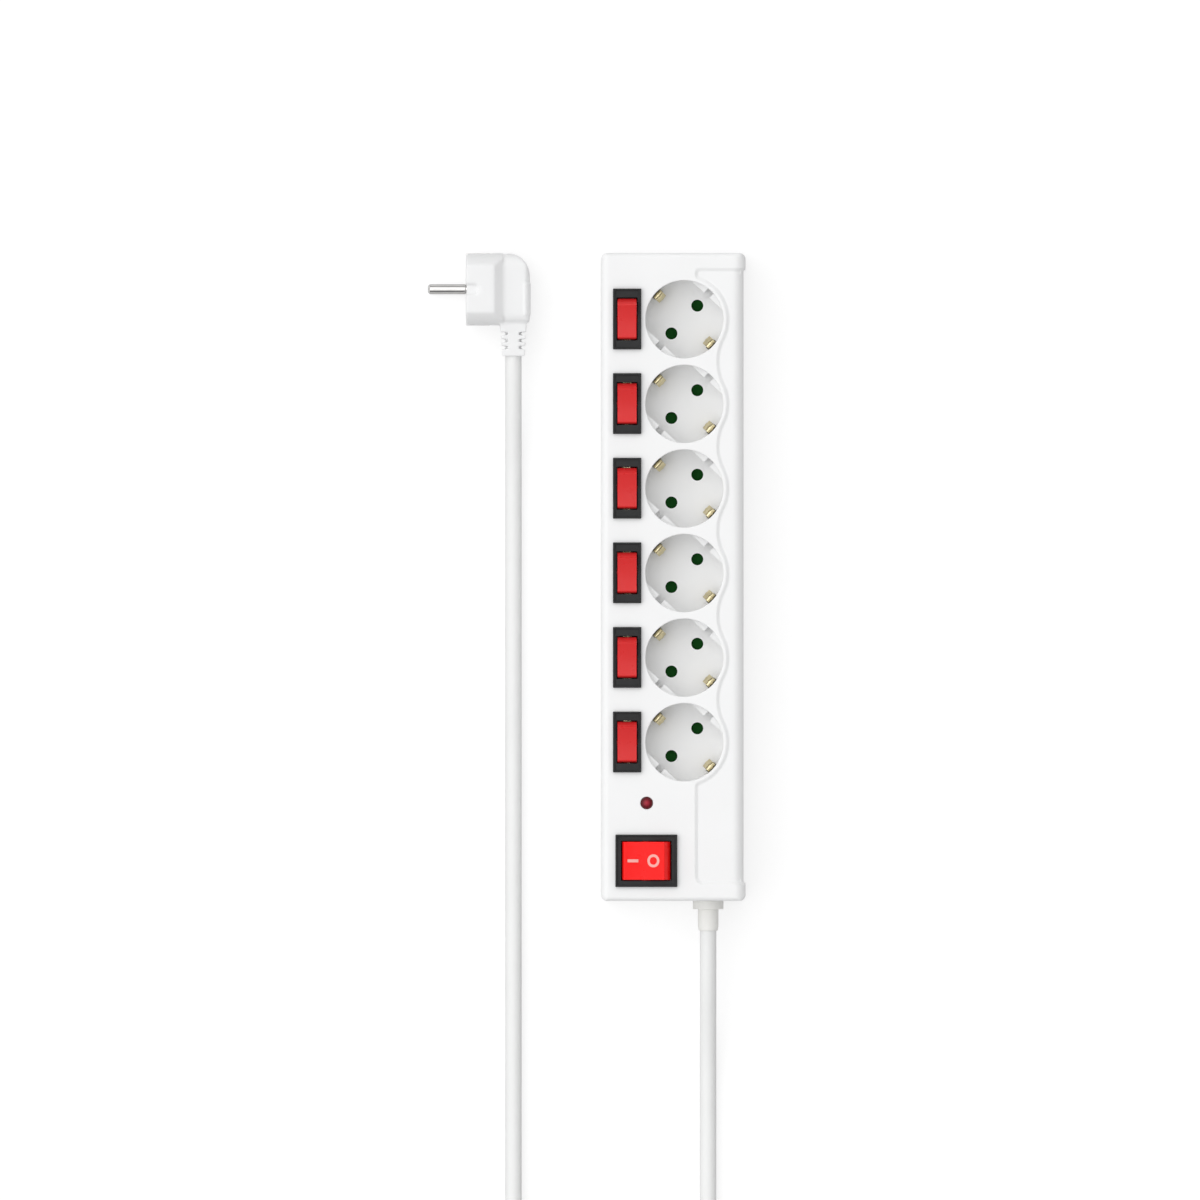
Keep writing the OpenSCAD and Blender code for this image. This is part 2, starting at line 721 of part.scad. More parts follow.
// The main switch lies across the case: its +Y becomes +X
module at_main() { translate([main_x, main_y, 0]) rotate([0, 0, -90]) children(); }
main_blades = [for (x = [-pole_x, pole_x], y = [0, blade_y]) [x, y]];

module main_switch_housing() {
    at_main() housing(main_housing_w, main_housing_l, main_bezel_w, main_bezel_l, main_open_w,
        main_open_l, main_housing_z, main_pivot_r + run, main_blades);
}

// The marks are shallow: a bar on the side that switches on, a ring on the other
module main_switch_rocker() {
    mark_depth = 0.3;
    color("red") at_main() difference() {
        rocker(main_rocker_w, main_rocker_l, main_dip, main_pivot_r, main_housing_w / 2 - 0.4,
            [-pole_x, pole_x]);
        translate([0, 0, pivot_z]) rotate([tilt, 0, 0]) translate([0, 0, main_dip]) {
            rotate([-vee, 0, 0]) translate([0, -5.9, -mark_depth]) block(1.6, 5.5, 2);
            rotate([vee, 0, 0]) translate([0, 4.6, -mark_depth]) difference() {
                cylinder(h = 2, d = 6.6);
                translate([0, 0, -over]) cylinder(h = 2 + 2 * over, d = 3.8);
            }
        }
    }
}

module main_switch_levers() {
    at_main() for (x = [-pole_x, pole_x]) translate([x, 0, 0]) lever(2 * blade_y + 2);
}

module main_switch_terminals() {
    color("goldenrod") at_main() for (p = main_blades)
        blade(p, main_housing_z - 5, p.y > 0 ? contact_z : fulcrum_z);
}

// ---- Board and lamp ----

module surge_board() {
    color("darkgreen") difference() {
        translate([board_x, board_y, board_z]) block(board_w, board_l, board_t);
        for (s = [-1, 1]) translate([lamp_x + s * 1.3, lamp_y, board_z - over])
            cylinder(h = board_t + 2 * over, d = 1);
    }
}

module varistors() {
    color("royalblue") for (k = [-1:1])
        translate([board_x + 1 + (varistor_d + 0.2) * k, board_y - 5.5, board_z + board_t]) {
            translate([0, 0, varistor_d / 2 + 1]) along_y(varistor_t) circle(d = varistor_d);
            for (s = [-1, 1]) translate([s * 2, 0, 0]) cylinder(h = 3, d = 0.8);
        }
}

module indicator_lamp() {
    dome_r = 4.2;
    proud = 0.9;
    body_z = roof_z - 9;
    color("firebrick") translate([lamp_x, lamp_y, 0]) {
        translate([0, 0, body_z]) cylinder(h = body_h + 0.2 - body_z, d = lamp_d);
        intersection() {
            translate([0, 0, body_h - over]) cylinder(h = 3, d = lamp_d);
            translate([0, 0, body_h + proud - dome_r]) sphere(dome_r);
        }
        translate([0, 0, roof_z - 1.5 - 0.1]) cylinder(h = 1.5, d = lamp_d + 2);
        for (s = [-1, 1]) translate([s * 1.3, 0, board_z]) cylinder(h = body_z - board_z + 1, d = 0.8);
    }
}

// ---- Fasteners and feet ----

// Screw along +Z with its head below z = 0
module screw(l) {
    head_h = 2.4;
    difference() {
        union() {
            translate([0, 0, -head_h]) cylinder(h = head_h, d = screw_head_d);
            translate([0, 0, -0.5]) cylinder(h = l + 0.5, d = screw_d);
        }
        for (a = [0, 90]) rotate([0, 0, a]) translate([0, 0, -head_h - over]) block(3.4, 0.8, 1.2 + over);
    }
}

module case_screws() {
    seat = foot_proud + head_depth;
    color("silver") for (p = screw_points) translate([p.x, p.y, seat])
        screw(joint_z + screw_grip - seat);
}

module clamp_screws() {
    color("silver") for (s = [-1, 1])
        translate([gland_x + s * clamp_screw_x, clamp_y, joint_z + clamp_h]) rotate([180, 0, 0])
            screw(clamp_h + 9);
}

module cord_clamp() {
    color("white") translate([gland_x, clamp_y, joint_z]) difference() {
        block(clamp_w, clamp_l, clamp_h);
        along_y(clamp_l + 2 * over) circle(d = cord_d + slip);
        for (s = [-1, 1]) translate([s * clamp_screw_x, 0, -over])
            cylinder(h = clamp_h + 2 * over, d = screw_d + 2 * slip);
    }
}

module rubber_feet() {
    color("dimgray") for (p = foot_points) translate([p.x, p.y, 0])
        cylinder(h = foot_proud + foot_sink, d = foot_d);
}

// ---- Leads ----

lead_d = 2.6;
jumper_d = 2.2;
core_y = cord_start_y + 0.3;         // the cores leave the cord here
lane_z = floor_z + 2.5;              // leads that lie on the floor

module live_leads() {
    in_y = main_y - pole_x;
    blade_end = main_housing_z - 5 - 0.1;
    out_x = main_x + blade_y;
    side_x = left + 11.9;
    color("saddlebrown") {
        lead([[gland_x - 2, core_y, joint_z - 1], [gland_x - 2, core_y + 3, joint_z - 1],
              [gland_x - 3, core_y + 7, joint_z - 6], [gland_x - 9, core_y + 5, lane_z],
              [main_x, in_y, lane_z], [main_x, in_y, blade_end]], lead_d);
        lead([[out_x, in_y, blade_end], [out_x, in_y, lane_z], [out_x, in_y - 4.5, lane_z],
              [side_x, in_y - 4.5, lane_z], [side_x, switch_y(6) - 22, lane_z],
              [switch_x, switch_y(6) - 19, feed_z + 0.5], [switch_x, switch_y(6) - 16.1, feed_z + 0.5]],
            lead_d);
        for (i = SOCKETS)
            lead([[switch_x + blade_w / 2 + 0.1, switch_y(i) + blade_y, housing_z - 4.5],
                  [switch_x + 8, switch_y(i) + blade_y, housing_z - 4.5],
                  [switch_x + 11, switch_y(i) + 5, bus_z + 4],
                  [live_x - 10, socket_y(i) - pin_y + 2, bus_z + 0.5],
                  [live_x - 9.5, socket_y(i) - pin_y, bus_z + 0.5],
                  [live_x - 7.3, socket_y(i) - pin_y, bus_z + 0.5]], jumper_d);
    }
}

module neutral_leads() {
    in_y = main_y + pole_x;
    blade_end = main_housing_z - 5 - 0.1;
    bar_end = socket_y(6) + pin_y - 8;
    side_x = board_x + board_w / 2 + 3.5;
    color("royalblue") {
        lead([[gland_x + 2, core_y, joint_z - 1], [gland_x + 2, core_y + 3, joint_z - 1],
              [gland_x + 2, core_y + 12, joint_z - 6],
              [gland_x - 9, core_y + 11, lane_z], [main_x, in_y + 3, lane_z], [main_x, in_y, lane_z],
              [main_x, in_y, blade_end]], lead_d);
        lead([[main_x + blade_y + blade_t / 2 + 0.1, in_y, main_housing_z - 3.5],
              [side_x, in_y, main_housing_z - 3.5], [side_x, bar_end - 8, main_housing_z - 3.5],
              [neutral_x, bar_end - 4, bus_z + 0.5], [neutral_x, bar_end - 0.1, bus_z + 0.5]], lead_d);
    }
}

module earth_lead() {
    bar_end = socket_y(6) - 18;
    color("yellowgreen")
        lead([[gland_x, core_y, joint_z + 2], [gland_x, core_y + 9, joint_z + 2],
              [gland_x + 2, core_y + 20, lane_z], [socket_x, bar_end - 5, earth_z + 0.5],
              [socket_x, bar_end - 0.1, earth_z + 0.5]], lead_d);
}

// ---- Cord ----

module strain_relief() {
    flange_d = 15.2;
    flange_l = 3;
    color("ivory") translate([gland_x, gland_y, joint_z]) rotate([90, 0, 0]) difference() {
        union() {
            translate([0, 0, -wall - slip - flange_l]) cylinder(h = flange_l, d = flange_d);
            translate([0, 0, -wall - 2 * slip]) cylinder(h = wall + 4 * slip, d = neck_d);
            translate([0, 0, slip]) cylinder(h = collar_l, d = collar_d);
            cylinder(h = collar_l + sleeve_l - 2, d = sleeve_d);
            translate([0, 0, collar_l + sleeve_l - 2]) cylinder(h = 2, d1 = sleeve_d, d2 = sleeve_d - 1);
        }
        translate([0, 0, -20]) cylinder(h = 60, d = cord_d + slip);
    }
}

module cord_strip_side() { color("whitesmoke") tube(spaced(strip_route, ring_step), cord_d, 12); }

module cord_plug_side() { color("whitesmoke") tube(spaced(plug_route, ring_step), cord_d, 12); }

// Outer shape of the coil: the cord lies in layers, one on top of the other
module cord_coil() {
    color("whitesmoke") translate([coil_x, coil_y, coil_lift]) rotate_extrude($fn = 96)
        translate([coil_r - cord_r, 0]) round_box([0, 0], [cord_d, coil_layers * cord_d],
            [cord_r / 2, cord_r / 2, cord_r / 2, cord_r / 2]);
}

module cord_tie() {
    tie_w = 6;
    room = 0.15;
    h = coil_layers * cord_d + room;
    color("dimgray") translate([coil_x, coil_y - coil_r, 0]) difference() {
        along_x(tie_w) round_box([-cord_r - room - coil_lift, 0],
            [cord_r + room + coil_lift, h + 2 * coil_lift], [1, 1, 1, 1]);
        along_x(tie_w + 2 * over) round_box([-cord_r - room, coil_lift - 0.05],
            [cord_r + room, h + coil_lift], [0.5, 0.5, 0.5, 0.5]);
    }
}

// ---- Plug ----

// Outline of the thin grip seen from above, with the corner opposite the cord rounded off
module grip_plan() {
    corner = 11;
    round_box([plug_grip_x - over, plug_y - grip_half_w], [plug_back_x, plug_y + grip_half_w],
        [0, 3, corner, 0]);
}

// Tail that the cord leaves, with slots that let it bend
module plug_tail() {
    top_w = 13.6;
    end_w = 11.4;
    spine_w = 5.4;
    slot_w = 1.5;
    slot_step = 3.45;
    first_slot = 4.2;
    length = tail_top_y + 2 - tail_end_y;
    translate([tail_x, tail_end_y, plug_z]) difference() {
        intersection() {
            linear_extrude(40, center = true)
                polygon([[-end_w / 2, 0], [end_w / 2, 0], [top_w / 2, length], [-top_w / 2, length]]);
            along_x(40) polygon([[0, -5.2], [length, -6.2], [length, 6.2], [0, 5.2]]);
        }
        for (k = [0:2]) translate([0, first_slot + slot_step * k, 0]) difference() {
            block_slot(20, slot_w);
            along_y(slot_w + 2) circle(d = cord_d - 0.4);
            translate([-spine_w / 2, -slot_w, -10]) cube([spine_w, 2 * slot_w, 20]);
        }
    }
}

module block_slot(w, t) { translate([-w / 2, -t / 2, -w / 2]) cube([w, t, w]); }

module plug_body() {
    bevel_drop = plug_flat - grip_half_h;
    color("white") difference() {
        union() {
            intersection() {
                translate([0, plug_y, 0]) along_y(60) polygon([
                    [plug_face_x, 0], [plug_bevel_x, 0], [plug_grip_x, bevel_drop],
                    [plug_back_x - 2, bevel_drop], [plug_back_x, bevel_drop + 2],
                    [plug_back_x, plug_z + grip_half_h - 2], [plug_back_x - 2, plug_z + grip_half_h],
                    [plug_grip_x, plug_z + grip_half_h], [plug_bevel_x, 2 * plug_z],
                    [plug_face_x, 2 * plug_z]]);
                union() {
                    translate([(plug_face_x + plug_grip_x) / 2, plug_y, plug_z])
                        along_x(plug_grip_x - plug_face_x) circle(d = plug_d, $fn = 96);
                    intersection() {
                        linear_extrude(40) grip_plan();
                        translate([plug_grip_x, plug_y, plug_z]) along_x(60)
                            plate(2 * grip_half_w, 2 * grip_half_h, 6);
                    }
                }
            }
            plug_tail();
        }
        for (s = [-1, 1]) {
            translate([plug_face_x, plug_y, plug_z + s * plug_flat]) {
                translate([-over, -groove_w / 2, -groove_depth])
                    cube([groove_l - groove_w / 2 + over, groove_w, 2 * groove_depth]);
                translate([groove_l - groove_w / 2, 0, -groove_depth])
                    cylinder(h = 2 * groove_depth, d = groove_w);
            }
            translate([plug_face_x - over, plug_y + s * plug_d / 2 - earth_contact_t - slip,
                       plug_z - earth_contact_w / 2 - slip])
                cube([earth_contact_l + over + slip, 2 * earth_contact_t + 2 * slip,
                      earth_contact_w + 2 * slip]);
            translate([plug_face_x, plug_y, plug_z + s * pin_gap / 2])
                along_x(2 * (pin_root_l + 2 * slip)) circle(d = pin_root_d + 2 * run);
        }
    }
}

module plug_pins() {
    tip = 1;
    color("silver") for (s = [-1, 1]) translate([plug_face_x, plug_y, plug_z + s * pin_gap / 2])
        rotate([0, 90, 0]) {
            translate([0, 0, tip - pin_l]) cylinder(h = pin_l - tip - pin_neck, d = pin_d);
            translate([0, 0, -pin_l]) cylinder(h = tip, d1 = pin_d - 2 * tip, d2 = pin_d);
            translate([0, 0, -pin_neck - over]) cylinder(h = pin_root_l + pin_neck + over, d = pin_root_d);
        }
}

module plug_earth_contacts() {
    color("silver") for (s = [-1, 1])
        translate([plug_face_x, plug_y + s * (plug_d - earth_contact_t) / 2 - earth_contact_t / 2,
                   plug_z - earth_contact_w / 2])
            cube([earth_contact_l, earth_contact_t, earth_contact_w]);
}

// ---- Drawing ----

base_shell();
top_cover();
for (i = SOCKETS) {
    socket_cup(i);
    shutter(i);
    switch_housing(i);
    switch_rocker(i);
    switch_lever(i);
}
shutter_springs();
earth_bar();
neutral_bar();
live_contacts();
live_feed_bar();
switch_terminals();
main_switch_housing();
main_switch_rocker();
main_switch_levers();
main_switch_terminals();
surge_board();
varistors();
indicator_lamp();
case_screws();
clamp_screws();
cord_clamp();
rubber_feet();
live_leads();
neutral_leads();
earth_lead();
strain_relief();
cord_strip_side();
cord_coil();
cord_plug_side();
cord_tie();
plug_body();
plug_pins();
plug_earth_contacts();
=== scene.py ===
"""Looks of a six-way power strip with a switch at each socket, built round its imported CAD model."""
import math
import bmesh
import bpy
from mathutils import Matrix, Vector, geometry


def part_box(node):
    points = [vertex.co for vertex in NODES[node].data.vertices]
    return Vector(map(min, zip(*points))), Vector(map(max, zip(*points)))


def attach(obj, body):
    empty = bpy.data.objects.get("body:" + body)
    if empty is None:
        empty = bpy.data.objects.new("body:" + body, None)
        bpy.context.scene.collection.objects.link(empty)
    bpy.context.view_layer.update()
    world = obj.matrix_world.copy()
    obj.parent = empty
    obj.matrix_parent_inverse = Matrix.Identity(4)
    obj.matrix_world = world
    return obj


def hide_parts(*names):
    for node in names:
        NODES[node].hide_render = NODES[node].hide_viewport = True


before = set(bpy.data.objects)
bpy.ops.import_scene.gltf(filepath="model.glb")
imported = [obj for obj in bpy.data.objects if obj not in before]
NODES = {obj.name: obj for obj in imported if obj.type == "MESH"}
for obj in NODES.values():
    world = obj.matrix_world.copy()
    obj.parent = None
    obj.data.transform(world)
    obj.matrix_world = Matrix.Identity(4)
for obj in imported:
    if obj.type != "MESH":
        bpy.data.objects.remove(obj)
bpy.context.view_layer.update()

MM = 0.001
SOCKETS = range(1, 7)
scene = bpy.context.scene


def middle(node):
    """Centre of a CAD node's box."""
    low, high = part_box(node)
    return (Vector(low) + Vector(high)) / 2


# ---- Places taken from the frame ----

case_low, case_high = (Vector(v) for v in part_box("top_cover"))
TOP_Z = case_high.z
JOINT_Z = case_low.z
CUPS = [middle(f"socket_cup_{i}") for i in SOCKETS]
SMALL_SWITCHES = [middle(f"switch_housing_{i}") for i in SOCKETS]
MAIN_SWITCH = middle("main_switch_housing")
LAMP = middle("indicator_lamp")
PITCH = CUPS[0].y - CUPS[1].y
WELL_R = 19.5 * MM


# ---- Camera, light and floor ----

FRAME_WIDTH = 0.600        # what the picture spans at the top of the case
LENS = 1200.0
SENSOR = 36.0
VIEW_CENTRE = (-0.03665, -0.0115)
CLIP_END = 60.0

WORLD_LEVEL = 0.77         # brightness that the surroundings give a level white surface
KEY = ("key", -78, 56, 0.36, 80)       # name, azimuth, elevation, level, spread in degrees
FILL = ("fill", 8, 35, 0.05, 60)
DARK_BELOW, BRIGHT_ABOVE = 0.4, 0.88   # heights in the sky, as seen in metal
HORIZON, CEILING = 0.15, 0.95          # and how bright it is there

FLOOR_HALF = 6.0
FLOOR_BOUNCE = 0.42        # grey of the floor for the light that it sends back
FLOOR_GREY = 0.36          # grey and glow of the floor that is looked at, which together are
FLOOR_GLOW = 0.70          # white in the light, so that only the shadow shows


def make_camera():
    """A long lens straight above, as the object is seen almost without perspective."""
    data = bpy.data.cameras.new("camera")
    data.lens = LENS
    data.sensor_width = SENSOR
    data.clip_end = CLIP_END
    camera = bpy.data.objects.new("camera", data)
    camera.location = (*VIEW_CENTRE, TOP_Z + FRAME_WIDTH * LENS / SENSOR)
    scene.collection.objects.link(camera)
    scene.camera = camera


def make_sun(name, azimuth, elevation, level, spread):
    """Distant lamp whose light gives a level surface the brightness level times its colour."""
    data = bpy.data.lights.new(name, "SUN")
    rise = math.radians(elevation)
    data.energy = level * math.pi / math.sin(rise)
    data.angle = math.radians(spread)
    sun = bpy.data.objects.new(name, data)
    turn = math.radians(azimuth)
    toward = Vector((math.sin(turn) * math.cos(rise), math.cos(turn) * math.cos(rise),
                     math.sin(rise)))
    sun.rotation_mode = "QUATERNION"
    sun.rotation_quaternion = toward.to_track_quat("Z", "Y")
    scene.collection.objects.link(sun)


def larger(tree, a, b):
    """The larger of two values."""
    made = tree.nodes.new("ShaderNodeMath")
    made.operation = "MAXIMUM"
    tree.links.new(a, made.inputs[0])
    tree.links.new(b, made.inputs[1])
    return made.outputs[0]


def seen_directly(tree):
    """1 for rays that see the backdrop itself, or see it in metal or through glass."""
    path = tree.nodes.new("ShaderNodeLightPath")
    mirrored = larger(tree, path.outputs["Is Glossy Ray"], path.outputs["Is Transmission Ray"])
    return larger(tree, path.outputs["Is Camera Ray"], mirrored)


def lit_or_seen(tree, lit, seen):
    """One shader for the light that a backdrop gives, another for where it is looked at."""
    mix = tree.nodes.new("ShaderNodeMixShader")
    tree.links.new(seen_directly(tree), mix.inputs[0])
    tree.links.new(lit.outputs[0], mix.inputs[1])
    tree.links.new(seen.outputs[0], mix.inputs[2])
    return mix.outputs[0]


def make_world():
    """Pale surroundings: even light from all round, and white where they are looked at.

    In metal they are a bright ceiling over a darker horizon, as in a studio.
    """
    world = bpy.data.worlds.new("studio")
    scene.world = world
    world.use_nodes = True
    tree = world.node_tree
    tree.nodes.clear()
    light = tree.nodes.new("ShaderNodeBackground")
    light.inputs["Strength"].default_value = WORLD_LEVEL
    direction = tree.nodes.new("ShaderNodeTexCoord")
    split = tree.nodes.new("ShaderNodeSeparateXYZ")
    tree.links.new(direction.outputs["Generated"], split.inputs[0])
    height = tree.nodes.new("ShaderNodeMapRange")
    height.interpolation_type = "SMOOTHSTEP"
    for name, value in (("From Min", DARK_BELOW), ("From Max", BRIGHT_ABOVE),
                        ("To Min", HORIZON), ("To Max", CEILING)):
        height.inputs[name].default_value = value
    tree.links.new(split.outputs["Z"], height.inputs["Value"])
    path = tree.nodes.new("ShaderNodeLightPath")
    seen = tree.nodes.new("ShaderNodeBackground")
    tree.links.new(larger(tree, height.outputs["Result"], path.outputs["Is Camera Ray"]),
                   seen.inputs["Strength"])
    out = tree.nodes.new("ShaderNodeOutputWorld")
    tree.links.new(lit_or_seen(tree, light, seen), out.inputs["Surface"])


def diffuse(tree, grey):
    """Matt shader of one grey."""
    made = tree.nodes.new("ShaderNodeBsdfDiffuse")
    made.inputs["Color"].default_value = (grey, grey, grey, 1)
    return made


def make_floor():
    """Large pale floor that takes the object's shadow."""
    mesh = bpy.data.meshes.new("floor")
    reach = FLOOR_HALF
    corners = [(-reach, -reach, 0), (reach, -reach, 0), (reach, reach, 0), (-reach, reach, 0)]
    mesh.from_pydata(corners, [], [(0, 1, 2, 3)])
    floor = bpy.data.objects.new("floor", mesh)
    scene.collection.objects.link(floor)
    material = bpy.data.materials.new("floor")
    material.use_nodes = True
    tree = material.node_tree
    tree.nodes.clear()
    glow = tree.nodes.new("ShaderNodeEmission")
    glow.inputs["Strength"].default_value = FLOOR_GLOW
    seen = tree.nodes.new("ShaderNodeAddShader")
    tree.links.new(diffuse(tree, FLOOR_GREY).outputs[0], seen.inputs[0])
    tree.links.new(glow.outputs[0], seen.inputs[1])
    out = tree.nodes.new("ShaderNodeOutputMaterial")
    tree.links.new(lit_or_seen(tree, diffuse(tree, FLOOR_BOUNCE), seen), out.inputs["Surface"])
    mesh.materials.append(material)


# ---- Materials ----

def shader(name):
    """New material, its node tree and its main shader."""
    material = bpy.data.materials.new(name)
    material.use_nodes = True
    tree = material.node_tree
    return material, tree, tree.nodes["Principled BSDF"]


def noise(tree, scale, detail=3.0, stretch=(1, 1, 1)):
    """Noise in the object's own coordinates, in metres."""
    place = tree.nodes.new("ShaderNodeTexCoord")
    fit = tree.nodes.new("ShaderNodeMapping")
    fit.inputs["Scale"].default_value = stretch
    texture = tree.nodes.new("ShaderNodeTexNoise")
    texture.inputs["Scale"].default_value = scale
    texture.inputs["Detail"].default_value = detail
    tree.links.new(place.outputs["Object"], fit.inputs["Vector"])
    tree.links.new(fit.outputs["Vector"], texture.inputs["Vector"])
    return texture.outputs["Fac"]


def ramp(tree, source, low, high, start=0.3, end=0.7):
    """Colours or values from low to high as source goes from start to end."""
    made = tree.nodes.new("ShaderNodeValToRGB")
    for stop, place, value in zip(made.color_ramp.elements, (start, end), (low, high)):
        stop.position = place
        stop.color = value if isinstance(value, tuple) else (value, value, value, 1)
    tree.links.new(source, made.inputs["Fac"])
    return made.outputs["Color"]


def bump(tree, principled, height, distance):
    """Relief on the surface, distance in metres."""
    made = tree.nodes.new("ShaderNodeBump")
    made.inputs["Distance"].default_value = distance
    tree.links.new(height, made.inputs["Height"])
    tree.links.new(made.outputs["Normal"], principled.inputs["Normal"])


def shade(colour, factor):
    """A colour made lighter or darker."""
    return tuple(min(1.0, c * factor) for c in colour[:3]) + (1,)


def plastic(name, colour, rough=0.4, grain=2500.0, relief=0.00002, varies=0.03, gloss=0.5,
            coat=0.0, translucent=0.0):
    """Moulded plastic: faint flow marks in its colour, a fine spark-eroded grain in its surface."""
    material, tree, principled = shader(name)
    clouds = noise(tree, 45.0, 4.0)
    tree.links.new(ramp(tree, clouds, shade(colour, 1 - varies), shade(colour, 1 + varies / 3)),
                   principled.inputs["Base Color"])
    wear = noise(tree, 160.0, 5.0)
    tree.links.new(ramp(tree, wear, rough - 0.05, rough + 0.07), principled.inputs["Roughness"])
    principled.inputs["Specular IOR Level"].default_value = gloss
    principled.inputs["Coat Weight"].default_value = coat
    principled.inputs["Coat Roughness"].default_value = 0.12
    if translucent:
        principled.inputs["Subsurface Weight"].default_value = translucent
        principled.inputs["Subsurface Radius"].default_value = (0.003, 0.001, 0.001)
        principled.inputs["Subsurface Scale"].default_value = 0.6
    bump(tree, principled, noise(tree, grain, 2.0), relief)
    return material


def metal(name, colour, rough=0.25, stretch=(1, 1, 1), varies=0.12, edge=0.6):
    """Stamped or drawn metal with fine rolling marks and a little tarnish.

    edge is how much it still reflects where it is seen almost edge-on.
    """
    material, tree, principled = shader(name)
    principled.inputs["Metallic"].default_value = 1.0
    principled.inputs["Specular Tint"].default_value = (edge, edge, edge, 1)
    tarnish = noise(tree, 260.0, 5.0)
    tree.links.new(ramp(tree, tarnish, shade(colour, 1 - varies), shade(colour, 1.0)),
                   principled.inputs["Base Color"])
    marks = noise(tree, 900.0, 3.0, stretch)
    tree.links.new(ramp(tree, marks, rough - 0.08, rough + 0.12), principled.inputs["Roughness"])
    bump(tree, principled, marks, 0.00001)
    return material


MATERIALS = {}


def make_materials():
    """All materials, by the name of the slot or the look that they stand for."""
    # grain is how many of its grains lie along a metre, relief how high they are in metres
    white = dict(relief=0.00002, varies=0.02, gloss=0.3)
    red = dict(grain=1800, relief=0.000003, translucent=0.1)
    plastics = {
        "case_white": ((0.895, 0.898, 0.90), 0.42,
                       dict(grain=2600, relief=0.000015, varies=0.012, gloss=0.3)),
        # the wells' white is a darker copy of case_white: painted shade in the recessed wells
        "well_white": ((0.855, 0.858, 0.86), 0.45,
                       dict(grain=2600, relief=0.000012, varies=0.015, gloss=0.3)),
        "shutter_green": ((0.004, 0.052, 0.006), 0.6, dict(gloss=0.05)),
        "bezel_black": ((0.017, 0.018, 0.019), 0.5,
                        dict(grain=3200, relief=0.00003, varies=0.15, gloss=0.3)),
        "rocker_red": ((0.69, 0.021, 0.022), 0.3, dict(varies=0.03, gloss=0.3, coat=0.05, **red)),
        "main_red": ((0.97, 0.006, 0.005), 0.3, dict(varies=0.02, gloss=0.2, coat=0.02, **red)),
        "mark_pink": ((0.92, 0.42, 0.38), 0.4, {}),
        "board_green": ((0.02, 0.11, 0.04), 0.35, {}),
        "varistor_blue": ((0.02, 0.06, 0.3), 0.3, {}),
        "foot_rubber": ((0.02, 0.02, 0.02), 0.75, dict(grain=1400, relief=0.00006)),
        "live_brown": ((0.13, 0.045, 0.02), 0.4, {}),
        "neutral_blue": ((0.01, 0.07, 0.4), 0.4, {}),
        "earth_green": ((0.28, 0.46, 0.02), 0.4, {}),
        "cord_white": ((0.85, 0.855, 0.85), 0.5, dict(grain=1500, **white)),
        "sleeve_ivory": ((0.885, 0.88, 0.852), 0.5, dict(grain=1500, **white)),
        "plug_white": ((0.87, 0.873, 0.876), 0.45,
                       dict(grain=2000, relief=0.00002, varies=0.015, gloss=0.3)),
        "tie_black": ((0.02, 0.02, 0.02), 0.55, dict(grain=1200, relief=0.00005))}
    for name, (colour, rough, more) in plastics.items():
        MATERIALS[name] = plastic(name, colour, rough, **more)
    MATERIALS["lamp_red"] = lamp_lens()
    metals = {
        "brass": ((0.91, 0.80, 0.50), 0.17, dict(stretch=(1, 1, 0.1), varies=0.25)),
        "spring_steel": ((0.62, 0.62, 0.63), 0.3, {}),
        "screw_steel": ((0.60, 0.61, 0.63), 0.35, {}),
        "nickel": ((0.72, 0.71, 0.70), 0.16, dict(stretch=(0.15, 1, 1), varies=0.05, edge=0.01))}
    for name, (colour, rough, more) in metals.items():
        MATERIALS[name] = metal(name, colour, rough, **more)


LAMP_R = 3.0 * MM
# Lens colours: painted glow for the middle, painted shade for the rim
LAMP_PAINTED_GLOW = (0.36, 0.02, 0.038, 1)
LAMP_PAINTED_RIM_SHADE = (0.09, 0.0005, 0.004, 1)


def lamp_lens():
    """Red lens with painted light: a painted glow makes its middle lighter as if lit from within, and
    painted shade darkens it toward the rim where it turns down.
    """
    material, tree, principled = shader("lamp_red")
    place = tree.nodes.new("ShaderNodeTexCoord")
    fit = tree.nodes.new("ShaderNodeMapping")
    fit.inputs["Location"].default_value = (-LAMP.x, -LAMP.y, 0)
    flat = tree.nodes.new("ShaderNodeVectorMath")
    flat.operation = "MULTIPLY"
    flat.inputs[1].default_value = (1, 1, 0)
    reach = tree.nodes.new("ShaderNodeVectorMath")
    reach.operation = "LENGTH"
    share = tree.nodes.new("ShaderNodeMath")
    share.operation = "DIVIDE"
    share.inputs[1].default_value = LAMP_R
    tree.links.new(place.outputs["Object"], fit.inputs["Vector"])
    tree.links.new(fit.outputs["Vector"], flat.inputs[0])
    tree.links.new(flat.outputs[0], reach.inputs[0])
    tree.links.new(reach.outputs["Value"], share.inputs[0])
    # painted glow in the middle fading to painted shade toward the rim
    tree.links.new(ramp(tree, share.outputs[0], LAMP_PAINTED_GLOW, LAMP_PAINTED_RIM_SHADE, 0.15, 0.75),
                   principled.inputs["Base Color"])
    principled.inputs["Roughness"].default_value = 0.25
    principled.inputs["Specular IOR Level"].default_value = 0.25
    bump(tree, principled, noise(tree, 900.0, 2.0), 0.00001)
    return material


# ---- Mesh helpers ----

MERGE = 1e-6               # vertices nearer than this are one
SAME_PLANE = 0.6           # degrees between faces that are joined into one
SHARP = 28.0               # degrees from which an edge is rounded
CREASE = 40.0              # degrees from which shading breaks at an edge


def added(name, mesh, material, body):
    """Object for a mesh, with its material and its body."""
    made = bpy.data.objects.new(name, mesh)
    scene.collection.objects.link(made)
    mesh.materials.clear()
    mesh.materials.append(MATERIALS[material])
    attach(made, body)
    return made


def new_object(name, verts, faces, material, body="strip"):
    """Mesh object in the shared frame, riding on a body."""
    mesh = bpy.data.meshes.new(name)
    mesh.from_pydata([tuple(v) for v in verts], [], faces)
    mesh.validate()
    return added(name, mesh, material, body)


